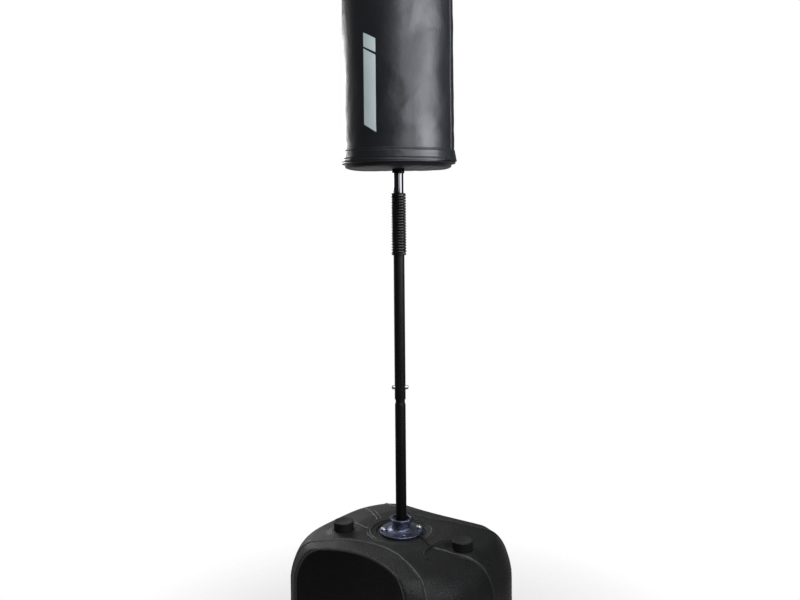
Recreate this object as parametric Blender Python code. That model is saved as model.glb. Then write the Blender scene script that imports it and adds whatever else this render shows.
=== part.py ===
"""Freestanding punching bag.

A water-filled base tank carries a floor flange and a two-part post. Near its top the post is
broken by a close-wound bend spring, and the rod above the spring runs up into a padded bag.

World frame: metres, +Z up, the floor at Z = 0, the post's axis along Z through the origin.
The front, as photographed, faces -Y.
"""

import math

import bmesh
import bpy
import numpy as np
from mathutils import Matrix, Vector

# Shared gaps and mesh densities
GAP = 0.0003
WELD = 0.00002
ROUND_SEGMENTS = 28
SMALL_SEGMENTS = 16
SEAT_SEGMENTS = 56
# heights between which cutting tools pass right through the tank
TOOL_LOW_Z = -0.05
TOOL_HIGH_Z = 0.40

# Base tank: a rounded square seen in its own u, v axes
BAY_AZIMUTH = math.radians(232.9)
TANK_HALF_U = 0.2152
TANK_HALF_V = 0.2300
TANK_CORNER_R = 0.1535
TANK_WALL = 0.004
TANK_FOOT_R = 0.010
TANK_WAIST_Z = 0.12
TANK_TOP_Z = 0.3375
DOME_CROWN_Z = 0.3441
DOME_U = 0.377
DOME_V = 0.546
SHOULDER_WIDTH = 0.0465
SHOULDER_DROP = 0.0765
# steps of the outer surface, and of the plainer hollow: each corner, side, shoulder and top
TANK_STEPS = (8, 3, 5, 3)
HOLLOW_STEPS = (5, 2, 3, 1)

# Round bays in the two u sides, each with a sloping margin and a broken edge
BAY_CENTRE_R = 0.417
BAY_R = 0.275
BAY_MARGIN = 0.0405
BAY_MARGIN_SLOPE = 0.10
BAY_MARGIN_REACH = 0.006
BAY_EDGE = 0.004
BAY_SEGMENTS = 96

# Seat for the flange, in the middle of the tank's top
SEAT_R = 0.0585
SEAT_FLOOR_Z = 0.3332
SEAT_RING_R = 0.0700
SEAT_RING_STEP = 0.0012
SEAT_RING_GROOVE = 0.0004
BOSS_R = 0.062
BOSS_FLOOR_Z = 0.290

# Moulded beads on the top, as (x, y) points that are laid on its surface
BEAD_R = 0.0024
BEAD_FRONT = ((0.0720, -0.0960), (0.0804, -0.0990), (0.1031, -0.1060), (0.1253, -0.1155),
              (0.1476, -0.1215), (0.1707, -0.1185), (0.1798, -0.1185))
BEAD_BACK = ((-0.050, 0.048), (-0.052, 0.066), (-0.0538, 0.0825), (-0.0618, 0.104), (-0.0726, 0.131))

# Filler necks and caps
CAP_CENTRES = {"left": (-0.1334, 0.0120), "right": (0.1331, -0.0875)}
CAP_R = 0.0230
CAP_HEIGHT = 0.0190
PAD_R = 0.0262
PAD_LIFT = 0.0015
PAD_DEPTH = 0.015
PAD_EDGE = 0.0008
PAD_RECESS_R = 0.0280
PAD_RECESS_DEPTH = 0.0004
NECK_R = 0.0188
NECK_BORE_R = 0.0155
NECK_HEIGHT = 0.0145
NECK_BORE_REACH = 0.040
CAP_EDGE = 0.0008
CAP_TOP_EDGE = 0.0015
GASKET_HEIGHT = 0.0014

# Straps that keep the caps
STRAP_WIDTH = 0.0055
STRAP_THICKNESS = 0.0014
STRAP_LIFT = 0.0008
STRAP_DROP = 0.0030
STRAP_CLEARANCE = 0.0008
# straps and the free tail, as (x, y, height above the tank's top)
STRAP_ROUTES = {
    "left": ((-0.0954, 0.0065, 0.010), (-0.0850, 0.0075, 0.004), (-0.0765, 0.0085, STRAP_LIFT)),
    "right": ((0.0971, -0.0795, 0.0125), (0.0814, -0.0810, 0.0080), (0.0663, -0.0880, 0.0030),
              (0.0595, -0.0700, STRAP_LIFT), (0.0500, -0.0480, STRAP_LIFT), (0.0430, -0.0320, -0.0008)),
}
STRAP_TAIL = ((0.0670, -0.0890, 0.0031), (0.0570, -0.1015, 0.0020), (0.0505, -0.1130, STRAP_LIFT),
              (0.0491, -0.1275, STRAP_LIFT), (0.0537, -0.1420, STRAP_LIFT))

# Water ballast
WATER_TOP_Z = 0.262
WATER_GAP = 0.0006

# Floor flange and its four fixings
FLANGE_R = 0.0500
FLANGE_BOTTOM_Z = 0.3335
FLANGE_THICKNESS = 0.0060
FLARE_R = 0.0330
FLARE_HEIGHT = 0.0075
HUB_R = 0.0225
HUB_BORE_R = 0.0165
RIM_R = 0.0267
RIM_BORE_R = 0.0195
RIM_TOP_Z = 0.3670
RIM_HEIGHT = 0.0075
BOLT_AZIMUTH = math.radians(8.0)
BOLT_CENTRE_R = 0.0415
BOLT_COUNT = 4
BOLT_R = 0.0040
BOLT_HEAD_R = 0.0062
BOLT_HEAD_HEIGHT = 0.0046
BOLT_LENGTH = 0.022
WASHER_R = 0.0080
WASHER_THICKNESS = 0.0013
INSERT_R = 0.0062
INSERT_LENGTH = 0.020

# Post
TUBE_R = 0.0123
UPPER_TUBE_R = 0.0126
TUBE_WALL = 0.0014
FOOT_Z = FLANGE_BOTTOM_Z
SPIGOT_R = 0.0108
SPIGOT_BASE_Z = 0.6275
SPIGOT_TOP_Z = 0.7050
UPPER_TUBE_BOTTOM_Z = 0.6385
BUTTON_Z = 0.6660
BUTTON_R = 0.0047
BUTTON_REACH = 0.0195
BUTTON_INNER_X = 0.0090
CLIP_BOTTOM_Z = 0.6100
CLIP_THICKNESS = 0.0007
CLIP_WIDTH = 0.0080
CLIP_ARM_ABOVE = 0.006
CLIP_ARM_BELOW = 0.012
CLIP_BEND_STEPS = 8

# Bend spring and its plugs
SPRING_BOTTOM_Z = 0.974
SPRING_TOP_Z = 1.108
SPRING_OUTER_R = 0.0168
SPRING_WIRE_R = 0.0028
SPRING_TURNS = 20
SPRING_POINTS_PER_TURN = 8
SPRING_MIN_GAP = 0.0004
PLUG_R = 0.0096
PLUG_REACH = 0.026
PLUG_TAIL = 0.030
PLUG_NOSE = 0.003
PLUG_EDGE = 0.001
PLUG_SHOULDER_R = 0.0166
PLUG_SHOULDER_HEIGHT = 0.004

# Rod above the spring
ROD_R = 0.0117
ROD_TOP_Z = 1.640
COLLAR_R = 0.0142
COLLAR_HEIGHT = 0.018
COLLAR_BELOW_BAG = 0.0040
COLLAR_EDGE = 0.001
END_CAP_DEPTH = 0.018
END_CAP_HEIGHT = 0.003

# Bag
BAG_BOTTOM_Z = 1.180
BAG_HEIGHT = 0.600
BAG_R = 0.1270
COVER_THICKNESS = 0.0018
BAND_HEIGHT = 0.0250
BAND_THICKNESS = 0.0018
BAND_FLARE = 0.0016
# the band's section, as (fraction of its height from the bag's end, fraction of the flare)
BAND_ROWS = ((0.14, 0.8), (0.38, 1.0), (1.0, 0.0))
COVER_INSET = 0.0035
CORE_INSET = 0.0012
PANEL_THICKNESS = 0.0022
PANEL_BULGE = 0.0125
PANEL_INSET = 0.0006
# an end panel's half-section, as (fraction of its reach from the middle, fraction of the bulge)
PANEL_ROWS = ((0.0, 0.80), (0.86, 1.0), (0.97, 0.62), (1.0, 0.0))
PIPING_R = 0.0023
PIPING_INSET = 0.0004
SLEEVE_R = 0.0150
SLEEVE_BORE_R = 0.0126
SLEEVE_BELOW_BAG = 0.0036
SLEEVE_ABOVE_ROD = 0.012
SLEEVE_ROOF = 0.003
SEAM_AZIMUTH = math.radians(-19.0)
SEAM_WIDTH = 0.020
SEAM_THICKNESS = 0.0010
SEAM_CLEARANCE = 0.002
SEAM_COLUMNS = 5
BAG_SEGMENTS = 48

BAG_TOP_Z = BAG_BOTTOM_Z + BAG_HEIGHT


def clear_scene():
    for old in list(bpy.data.objects):
        bpy.data.objects.remove(old, do_unlink=True)


def make_material(name, colour, roughness, metallic=0.0):
    material = bpy.data.materials.new(name)
    material.use_nodes = True
    shader = material.node_tree.nodes["Principled BSDF"]
    shader.inputs["Base Color"].default_value = (*colour, 1.0)
    shader.inputs["Roughness"].default_value = roughness
    shader.inputs["Metallic"].default_value = metallic
    return material


def make_materials():
    return {
        "tank": make_material("moulded_black_plastic", (0.020, 0.021, 0.021), 0.55),
        "cap": make_material("cap_plastic", (0.012, 0.012, 0.013), 0.60),
        "rubber": make_material("black_rubber", (0.015, 0.015, 0.015), 0.80),
        "water": make_material("water", (0.35, 0.45, 0.50), 0.05),
        "zinc": make_material("zinc_plate", (0.42, 0.44, 0.52), 0.35, 1.0),
        "bolt": make_material("bright_steel", (0.75, 0.76, 0.78), 0.20, 1.0),
        "brass": make_material("brass", (0.60, 0.45, 0.20), 0.35, 1.0),
        "paint": make_material("black_paint", (0.010, 0.010, 0.010), 0.40),
        "gloss": make_material("gloss_black", (0.008, 0.008, 0.008), 0.15),
        "steel": make_material("spring_steel", (0.30, 0.30, 0.31), 0.35, 1.0),
        "plastic": make_material("grey_plastic", (0.30, 0.30, 0.30), 0.45),
        "foam": make_material("foam", (0.55, 0.55, 0.52), 0.90),
        "leather": make_material("black_coated_fabric", (0.012, 0.012, 0.014), 0.38),
    }


def finish(name, bm, material, smooth_angle=35.0):
    """Turn a bmesh into a named object with one material and smooth round faces."""
    bmesh.ops.recalc_face_normals(bm, faces=bm.faces)
    mesh = bpy.data.meshes.new(name)
    bm.to_mesh(mesh)
    bm.free()
    mesh.shade_smooth()
    mesh.set_sharp_from_angle(angle=math.radians(smooth_angle))
    obj = bpy.data.objects.new(name, mesh)
    obj.data.materials.append(material)
    bpy.context.scene.collection.objects.link(obj)
    return obj


def place(obj, location, parent=None):
    """Move an object's origin to a point without moving its shape, then parent it."""
    obj.data.transform(Matrix.Translation(-Vector(location)))
    obj.location = location
    if parent is not None:
        obj.parent = parent
        obj.matrix_parent_inverse = Matrix.Translation(-parent.location)


def make_pivot(name, location, parent=None):
    pivot = bpy.data.objects.new(name, None)
    pivot.empty_display_size = 0.03
    pivot.location = location
    bpy.context.scene.collection.objects.link(pivot)
    if parent is not None:
        pivot.parent = parent
        pivot.matrix_parent_inverse = Matrix.Translation(-parent.location)
    return pivot


def polar(radius, azimuth):
    return radius * math.cos(azimuth), radius * math.sin(azimuth)


def add_turned(bm, profile, segments, centre=(0.0, 0.0)):
    """Add a closed ring of (radius, z) points turned about the vertical through centre.

    A point at radius 0 becomes a single vertex on the axis.
    """
    rings = []
    for radius, z in profile:
        if radius == 0.0:
            rings.append([bm.verts.new((centre[0], centre[1], z))] * segments)
            continue
        ring = []
        for i in range(segments):
            x, y = polar(radius, 2.0 * math.pi * i / segments)
            ring.append(bm.verts.new((centre[0] + x, centre[1] + y, z)))
        rings.append(ring)
    count = len(rings)
    for k in range(count):
        lower = rings[k]
        upper = rings[(k + 1) % count]
        for i in range(segments):
            j = (i + 1) % segments
            corners = []
            for vert in (lower[i], lower[j], upper[j], upper[i]):
                if vert not in corners:
                    corners.append(vert)
            if len(corners) > 2:
                bm.faces.new(corners)


def turned(name, profile, material, segments=ROUND_SEGMENTS, centre=(0.0, 0.0)):
    bm = bmesh.new()
    add_turned(bm, profile, segments, centre)
    return finish(name, bm, material)


def cut(obj, tool, operation="DIFFERENCE"):
    """Apply an exact Boolean with a tool object, then remove the tool."""
    modifier = obj.modifiers.new("cut", "BOOLEAN")
    modifier.operation = operation
    modifier.solver = "EXACT"
    modifier.object = tool
    depsgraph = bpy.context.evaluated_depsgraph_get()
    bm = bmesh.new()
    bm.from_object(obj, depsgraph)
    bmesh.ops.remove_doubles(bm, verts=bm.verts, dist=WELD)
    bmesh.ops.dissolve_degenerate(bm, edges=bm.edges, dist=WELD)
    obj.modifiers.clear()
    bm.to_mesh(obj.data)
    bm.free()
    bpy.data.objects.remove(tool, do_unlink=True)


def cylinder_tool(radius, bottom, top, centre=(0.0, 0.0), segments=ROUND_SEGMENTS):
    bm = bmesh.new()
    add_turned(bm, [(0.0, bottom), (radius, bottom), (radius, top), (0.0, top)], segments, centre)
    return finish("tool", bm, None)


def sweep(bm, points, section, across):
    """Sweep a closed section along points, keeping its first axis near the across vector.

    The section is a list of (side, up) offsets; the ends are closed with flat faces.
    """
    rings = []
    last = len(points) - 1
    for i, point in enumerate(points):
        ahead = points[min(i + 1, last)] - points[max(i - 1, 0)]
        tangent = ahead.normalized()
        up = across(point)
        side = tangent.cross(up).normalized()
        up = side.cross(tangent).normalized()
        rings.append([bm.verts.new(point + side * s + up * t) for s, t in section])
    count = len(section)
    for lower, upper in zip(rings, rings[1:]):
        for i in range(count):
            j = (i + 1) % count
            bm.faces.new((lower[i], lower[j], upper[j], upper[i]))
    bm.faces.new(rings[0][::-1])
    bm.faces.new(rings[-1])


def round_section(radius, sides=8):
    return [polar(radius, 2.0 * math.pi * i / sides) for i in range(sides)]


def smooth_route(knots, steps):
    """Points on a smooth curve through the knots (Catmull-Rom)."""
    knots = [np.array(k, dtype=float) for k in knots]
    ends = [2 * knots[0] - knots[1], *knots, 2 * knots[-1] - knots[-2]]
    route = []
    for p0, p1, p2, p3 in zip(ends, ends[1:], ends[2:], ends[3:]):
        for k in range(steps):
            t = k / steps
            route.append(
                0.5 * (2 * p1 + (p2 - p0) * t + (2 * p0 - 5 * p1 + 4 * p2 - p3) * t**2
                       + (3 * p1 - p0 - 3 * p2 + p3) * t**3)
            )
    route.append(knots[-1])
    return route


# Base tank


def to_uv(x, y):
    """Plan coordinates along the bays' axis (u) and across it (v)."""
    c, s = math.cos(BAY_AZIMUTH), math.sin(BAY_AZIMUTH)
    return x * c + y * s, y * c - x * s


def from_uv(u, v):
    c, s = math.cos(BAY_AZIMUTH), math.sin(BAY_AZIMUTH)
    return u * c - v * s, u * s + v * c


def dome_z(u, v):
    """Height of the dome, which is flat in the middle."""
    return min(TANK_TOP_Z, DOME_CROWN_Z - DOME_U * u * u - DOME_V * v * v)


def top_z(x, y):
    """Height of the tank's top, shoulder included, above a plan point."""
    u, v = to_uv(x, y)
    side_u = max(abs(u) - (TANK_HALF_U - TANK_CORNER_R), 0.0)
    side_v = max(abs(v) - (TANK_HALF_V - TANK_CORNER_R), 0.0)
    inset = TANK_CORNER_R - math.hypot(side_u, side_v)
    if inset >= SHOULDER_WIDTH:
        return dome_z(u, v)
    angle = math.acos(1.0 - max(inset, 0.0) / SHOULDER_WIDTH)
    return dome_z(u, v) - SHOULDER_DROP * (1.0 - math.sin(angle))


def outline_directions(corner_steps, side_steps):
    """Corner centres and outward directions round the tank, as (u, v, nu, nv)."""
    reach_u = TANK_HALF_U - TANK_CORNER_R
    reach_v = TANK_HALF_V - TANK_CORNER_R
    centres = ((reach_u, reach_v), (-reach_u, reach_v), (-reach_u, -reach_v), (reach_u, -reach_v))
    rows = []
    for quarter, (u, v) in enumerate(centres):
        for k in range(corner_steps + 1):
            angle = 0.5 * math.pi * (quarter + k / corner_steps)
            rows.append((u, v, math.cos(angle), math.sin(angle)))
        following = centres[(quarter + 1) % 4]
        normal = (math.cos(0.5 * math.pi * (quarter + 1)), math.sin(0.5 * math.pi * (quarter + 1)))
        for k in range(1, side_steps):
            t = k / side_steps
            rows.append((u + (following[0] - u) * t, v + (following[1] - v) * t, *normal))
    return rows


def bay_distance(u, v):
    """Plan distance outward from the nearer bay's wall."""
    return math.hypot(abs(u) - BAY_CENTRE_R, v) - BAY_R


def tank_body(name, shrink=0.0, margin=None, steps=TANK_STEPS):
    """The tank's outer body without its bays.

    shrink moves the surface inward everywhere. margin is (width, slope): the surface is tilted
    about a line that far from a bay's wall, so that it lies inside the plain body only nearer.
    """
    corner_steps, side_steps, shoulder_steps, top_steps = steps
    rows = outline_directions(corner_steps, side_steps)
    corner = TANK_CORNER_R - shrink
    bottom = shrink
    levels = [(TANK_FOOT_R, bottom, 0.0), (0.3 * TANK_FOOT_R, bottom + 0.3 * TANK_FOOT_R, 0.0)]
    levels += [(0.0, bottom + TANK_FOOT_R, 0.0), (0.0, TANK_WAIST_Z, 0.0)]
    shoulder_width = SHOULDER_WIDTH - shrink
    shoulder_drop = SHOULDER_DROP - shrink
    rings = []
    for inset, z, tilt in levels:
        rings.append([(u + nu * (corner - inset), v + nv * (corner - inset), z, nu, nv, tilt)
                      for u, v, nu, nv in rows])
    for k in range(shoulder_steps + 1):
        angle = 0.5 * math.pi * k / shoulder_steps
        inset = shoulder_width * (1.0 - math.cos(angle))
        ring = []
        for u, v, nu, nv in rows:
            pu, pv = u + nu * (corner - inset), v + nv * (corner - inset)
            z = dome_z(pu, pv) - shrink - shoulder_drop * (1.0 - math.sin(angle))
            ring.append((pu, pv, z, nu, nv, angle))
        rings.append(ring)
    edge = rings[-1]
    for k in range(top_steps):
        t = (k + 1) / top_steps
        ring = []
        for u, v, _, nu, nv, tilt in edge:
            reach = math.hypot(u, v)
            radius = reach + (SEAT_RING_R - reach) * t
            pu, pv = u * radius / reach, v * radius / reach
            ring.append((pu, pv, dome_z(pu, pv) - shrink, nu, nv, tilt))
        rings.append(ring)
    bm = bmesh.new()
    loops = []
    for ring in rings:
        loop = []
        for u, v, z, nu, nv, tilt in ring:
            if margin is not None:
                push = margin[1] * (margin[0] - bay_distance(u, v))
                push = max(push, -BAY_MARGIN_REACH)
                u -= push * nu * math.cos(tilt)
                v -= push * nv * math.cos(tilt)
                z -= push * math.sin(tilt)
            loop.append(bm.verts.new((*from_uv(u, v), z)))
        loops.append(loop)
    count = len(rows)
    for lower, upper in zip(loops, loops[1:]):
        for i in range(count):
            j = (i + 1) % count
            bm.faces.new((lower[i], lower[j], upper[j]))
            bm.faces.new((lower[i], upper[j], upper[i]))
    if margin is not None:
        for vert in loops[0]:
            vert.co.z -= 0.01
    bm.faces.new(loops[0][::-1])
    bm.faces.new(loops[-1])
    return finish(name, bm, None)


def bay_tool(sign, growth=0.0):
    centre = from_uv(sign * BAY_CENTRE_R, 0.0)
    return cylinder_tool(BAY_R + growth, TOOL_LOW_Z, TOOL_HIGH_Z, centre, BAY_SEGMENTS)


def pad_z(side):
    return top_z(*CAP_CENTRES[side]) + PAD_LIFT


def laid_bead(knots):
    """A round bead along plan points, centred on the tank's surface."""
    route = smooth_route(knots, 5)
    points = [Vector((x, y, top_z(x, y))) for x, y in route]
    bm = bmesh.new()
    sweep(bm, points, round_section(BEAD_R), lambda point: Vector((0.0, 0.0, 1.0)))
    return finish("tool", bm, None)


def make_tank(materials):
    tank = tank_body("base_tank")
    cut(tank, tank_body("tool", margin=(BAY_MARGIN, BAY_MARGIN_SLOPE)), "INTERSECT")
    cut(tank, tank_body("tool", margin=(BAY_EDGE, 1.0)), "INTERSECT")
    for sign in (1.0, -1.0):
        cut(tank, bay_tool(sign))
    for knots in (BEAD_FRONT, BEAD_BACK):
        cut(tank, laid_bead(knots), "UNION")
    for side, centre in CAP_CENTRES.items():
        z = pad_z(side)
        low, neck_top = z - PAD_DEPTH, z + NECK_HEIGHT
        cut(tank, cylinder_tool(PAD_RECESS_R, z - PAD_RECESS_DEPTH, TOOL_HIGH_Z, centre))
        bm = bmesh.new()
        add_turned(bm, [(0.0, low), (PAD_R, low), (PAD_R, z - PAD_RECESS_DEPTH), (PAD_R - PAD_EDGE, z),
                        (NECK_R, z), (NECK_R, neck_top), (0.0, neck_top)], ROUND_SEGMENTS, centre)
        cut(tank, finish("tool", bm, None), "UNION")
    ring_z = dome_z(SEAT_RING_R, 0.0) - SEAT_RING_STEP
    cut(tank, cylinder_tool(SEAT_RING_R - SEAT_RING_GROOVE, ring_z, TOOL_HIGH_Z, segments=SEAT_SEGMENTS))
    cut(tank, cylinder_tool(SEAT_R, SEAT_FLOOR_Z, TOOL_HIGH_Z, segments=SEAT_SEGMENTS))
    cavity = tank_body("tool", shrink=TANK_WALL, steps=HOLLOW_STEPS)
    for sign in (1.0, -1.0):
        cut(cavity, bay_tool(sign, TANK_WALL))
    cut(cavity, cylinder_tool(BOSS_R, BOSS_FLOOR_Z, TOOL_HIGH_Z))
    cut(tank, cavity)
    for side, centre in CAP_CENTRES.items():
        z = pad_z(side)
        cut(tank, cylinder_tool(NECK_BORE_R, z - NECK_BORE_REACH, z + NECK_BORE_REACH, centre))
    for azimuth in bolt_azimuths():
        pocket = INSERT_LENGTH + 2.0 * GAP
        cut(tank, cylinder_tool(INSERT_R + GAP, SEAT_FLOOR_Z - pocket, TOOL_HIGH_Z,
                                polar(BOLT_CENTRE_R, azimuth), SMALL_SEGMENTS))
    tank.name = "base_tank"
    tank.data.materials.clear()
    tank.data.materials.append(materials["tank"])
    tank.data.shade_smooth()
    tank.data.set_sharp_from_angle(angle=math.radians(28.0))


def make_water(materials):
    water = tank_body("water_fill", shrink=TANK_WALL + WATER_GAP, steps=HOLLOW_STEPS)
    for sign in (1.0, -1.0):
        cut(water, bay_tool(sign, TANK_WALL + WATER_GAP))
    cut(water, cylinder_tool(2.0 * TANK_HALF_V, WATER_TOP_Z, TOOL_HIGH_Z))
    water.data.materials.clear()
    water.data.materials.append(materials["water"])


# Filler caps


def make_caps(materials):
    for side, centre in CAP_CENTRES.items():
        z = pad_z(side)
        pivot = make_pivot(f"filler_cap_{side}_axis", (*centre, z))
        bottom = z + 2.0 * GAP
        top = bottom + CAP_HEIGHT
        gasket_bottom = z + NECK_HEIGHT + GAP
        ceiling = gasket_bottom + GASKET_HEIGHT + GAP
        inner = NECK_R + GAP
        profile = [(inner, bottom), (CAP_R - CAP_EDGE, bottom), (CAP_R, bottom + CAP_EDGE),
                   (CAP_R, top - CAP_TOP_EDGE), (CAP_R - CAP_TOP_EDGE, top), (0.0, top),
                   (0.0, ceiling), (inner, ceiling)]
        cap = turned(f"filler_cap_{side}", profile, materials["cap"], centre=centre)
        place(cap, (*centre, z), pivot)
        outer = NECK_R - GAP
        profile = [(NECK_BORE_R, gasket_bottom), (outer, gasket_bottom),
                   (outer, gasket_bottom + GASKET_HEIGHT), (NECK_BORE_R, gasket_bottom + GASKET_HEIGHT)]
        gasket = turned(f"cap_gasket_{side}", profile, materials["rubber"], SMALL_SEGMENTS, centre)
        place(gasket, (*centre, z), pivot)


def strap_tool(knots):
    """A flat strap swept along world points."""
    points = [Vector(p) for p in smooth_route(knots, 4)]
    half = 0.5 * STRAP_WIDTH
    section = [(-half, 0.0), (half, 0.0), (half, STRAP_THICKNESS), (-half, STRAP_THICKNESS)]
    bm = bmesh.new()
    sweep(bm, points, section, lambda point: Vector((0.0, 0.0, 1.0)))
    return finish("tool", bm, None)


def laid_points(route):
    """World points for (x, y, height above the tank's top) triples."""
    return [Vector((x, y, top_z(x, y) + lift)) for x, y, lift in route]


def make_tethers(materials):
    """Each strap leaves its cap near the cap's top and comes down to the tank."""
    for side, centre in CAP_CENTRES.items():
        route = laid_points(STRAP_ROUTES[side])
        inward = Vector((route[0].x - centre[0], route[0].y - centre[1], 0.0)).normalized()
        height = pad_z(side) + CAP_HEIGHT - STRAP_DROP
        start = Vector((*centre, height)) + inward * (CAP_R + STRAP_CLEARANCE)
        strap = strap_tool([start, *route])
        strap.name = f"cap_tether_{side}"
        if side == "right":
            cut(strap, strap_tool(laid_points(STRAP_TAIL)), "UNION")
        strap.data.materials.clear()
        strap.data.materials.append(materials["cap"])


# Floor flange and its fixings


def bolt_azimuths():
    return [BOLT_AZIMUTH + 2.0 * math.pi * i / BOLT_COUNT for i in range(BOLT_COUNT)]


def make_flange(materials):
    bottom = FLANGE_BOTTOM_Z
    top = bottom + FLANGE_THICKNESS
    rim_bottom = RIM_TOP_Z - RIM_HEIGHT
    profile = [
        (HUB_BORE_R, bottom), (FLANGE_R, bottom), (FLANGE_R, top - 0.0012),
        (FLANGE_R - 0.0012, top), (FLARE_R, top),
        (0.5 * (FLARE_R + HUB_R), top + 0.27 * FLARE_HEIGHT), (HUB_R + 0.0012, top + 0.62 * FLARE_HEIGHT),
        (HUB_R, top + FLARE_HEIGHT),
        (HUB_R, rim_bottom - 0.0015), (RIM_R - 0.0010, rim_bottom), (RIM_R, rim_bottom + 0.0012),
        (RIM_R, RIM_TOP_Z - 0.0020), (RIM_R - 0.0016, RIM_TOP_Z), (RIM_BORE_R + 0.0010, RIM_TOP_Z),
        (RIM_BORE_R, RIM_TOP_Z - 0.0012), (RIM_BORE_R, rim_bottom), (HUB_BORE_R, rim_bottom - 0.003),
    ]
    flange = turned("pole_flange", profile, materials["zinc"])
    for azimuth in bolt_azimuths():
        cut(flange, cylinder_tool(BOLT_R + GAP, bottom - 0.01, top + 0.01,
                                  polar(BOLT_CENTRE_R, azimuth), SMALL_SEGMENTS))
    inner = TUBE_R + GAP
    profile = [(inner, FOOT_Z), (HUB_BORE_R - GAP, FOOT_Z), (HUB_BORE_R - GAP, rim_bottom - 0.005),
               (inner + 0.0010, rim_bottom - 0.004), (inner, rim_bottom - 0.005)]
    turned("flange_bush", profile, materials["plastic"])


def make_fixings(materials):
    top = FLANGE_BOTTOM_Z + FLANGE_THICKNESS
    head = top + GAP + WASHER_THICKNESS + GAP
    insert_top = SEAT_FLOOR_Z - GAP
    end = head - BOLT_LENGTH
    hole = BOLT_R + GAP
    bolt = [(0.0, end), (BOLT_R - 0.0006, end), (BOLT_R, end + 0.0006), (BOLT_R, head), (BOLT_HEAD_R, head),
            (BOLT_HEAD_R, head + 0.45 * BOLT_HEAD_HEIGHT),
            (0.86 * BOLT_HEAD_R, head + 0.80 * BOLT_HEAD_HEIGHT),
            (0.50 * BOLT_HEAD_R, head + BOLT_HEAD_HEIGHT), (0.0, head + BOLT_HEAD_HEIGHT)]
    washer = [(hole, top + GAP), (WASHER_R, top + GAP), (WASHER_R, top + GAP + WASHER_THICKNESS),
              (hole, top + GAP + WASHER_THICKNESS)]
    insert = [(hole, insert_top - INSERT_LENGTH), (INSERT_R, insert_top - INSERT_LENGTH),
              (INSERT_R, insert_top), (hole, insert_top)]
    for number, azimuth in enumerate(bolt_azimuths(), start=1):
        centre = polar(BOLT_CENTRE_R, azimuth)
        turned(f"flange_bolt_{number}", bolt, materials["bolt"], SMALL_SEGMENTS, centre)
        turned(f"flange_washer_{number}", washer, materials["bolt"], SMALL_SEGMENTS, centre)
        turned(f"threaded_insert_{number}", insert, materials["brass"], SMALL_SEGMENTS, centre)


# Post


def button_tool(sign, radius):
    """A cylinder along X that pierces one side of the tubes at the buttons' height."""
    bm = bmesh.new()
    add_turned(bm, [(0.0, 0.004), (radius, 0.004), (radius, 0.03), (0.0, 0.03)], SMALL_SEGMENTS)
    bmesh.ops.rotate(bm, verts=bm.verts, matrix=Matrix.Rotation(sign * math.pi / 2.0, 3, "Y"))
    bmesh.ops.translate(bm, verts=bm.verts, vec=(0.0, 0.0, BUTTON_Z))
    return finish("tool", bm, None)


def make_tubes(materials):
    bore = TUBE_R - TUBE_WALL
    spigot_bore = SPIGOT_R - TUBE_WALL
    profile = [(bore, FOOT_Z), (TUBE_R, FOOT_Z), (TUBE_R, SPIGOT_BASE_Z), (SPIGOT_R, SPIGOT_BASE_Z + 0.004),
               (SPIGOT_R, SPIGOT_TOP_Z - 0.001), (SPIGOT_R - 0.0006, SPIGOT_TOP_Z),
               (spigot_bore, SPIGOT_TOP_Z), (spigot_bore, SPIGOT_BASE_Z + 0.004),
               (bore, SPIGOT_BASE_Z)]
    lower = turned("lower_tube", profile, materials["paint"])
    upper_bore = SPIGOT_R + GAP
    top = SPRING_BOTTOM_Z - PLUG_SHOULDER_HEIGHT - GAP
    profile = [(upper_bore, UPPER_TUBE_BOTTOM_Z), (UPPER_TUBE_R - 0.0004, UPPER_TUBE_BOTTOM_Z),
               (UPPER_TUBE_R, UPPER_TUBE_BOTTOM_Z + 0.0004), (UPPER_TUBE_R, top), (upper_bore, top)]
    upper = turned("upper_tube", profile, materials["paint"])
    for tube in (lower, upper):
        for sign in (1.0, -1.0):
            cut(tube, button_tool(sign, BUTTON_R + GAP))


def make_clip(materials):
    """A bent leaf whose two arms push the buttons out."""
    arm = BUTTON_INNER_X - GAP - CLIP_THICKNESS
    bend_z = CLIP_BOTTOM_Z + arm
    high, low = BUTTON_Z + CLIP_ARM_ABOVE, BUTTON_Z - CLIP_ARM_BELOW
    points = [Vector((arm, 0.0, high)), Vector((arm, 0.0, low))]
    for k in range(CLIP_BEND_STEPS + 1):
        x, z = polar(arm, -math.pi * k / CLIP_BEND_STEPS)
        points.append(Vector((x, 0.0, bend_z + z)))
    points += [Vector((-arm, 0.0, low)), Vector((-arm, 0.0, high))]
    half = 0.5 * CLIP_WIDTH
    section = [(-CLIP_THICKNESS, -half), (0.0, -half), (0.0, half), (-CLIP_THICKNESS, half)]
    bm = bmesh.new()
    sweep(bm, points, section, lambda point: Vector((0.0, 1.0, 0.0)))
    finish("snap_clip", bm, materials["steel"])
    for side, sign in (("left", -1.0), ("right", 1.0)):
        bm = bmesh.new()
        add_turned(bm, [(0.0, BUTTON_INNER_X), (BUTTON_R, BUTTON_INNER_X),
                        (BUTTON_R, BUTTON_REACH - 0.0022), (0.80 * BUTTON_R, BUTTON_REACH - 0.0008),
                        (0.45 * BUTTON_R, BUTTON_REACH), (0.0, BUTTON_REACH)], SMALL_SEGMENTS)
        bmesh.ops.rotate(bm, verts=bm.verts, matrix=Matrix.Rotation(sign * math.pi / 2.0, 3, "Y"))
        bmesh.ops.translate(bm, verts=bm.verts, vec=(0.0, 0.0, BUTTON_Z))
        button = finish(f"snap_button_{side}", bm, materials["paint"])
        place(button, (sign * BUTTON_INNER_X, 0.0, BUTTON_Z))


# Bend spring


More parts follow.
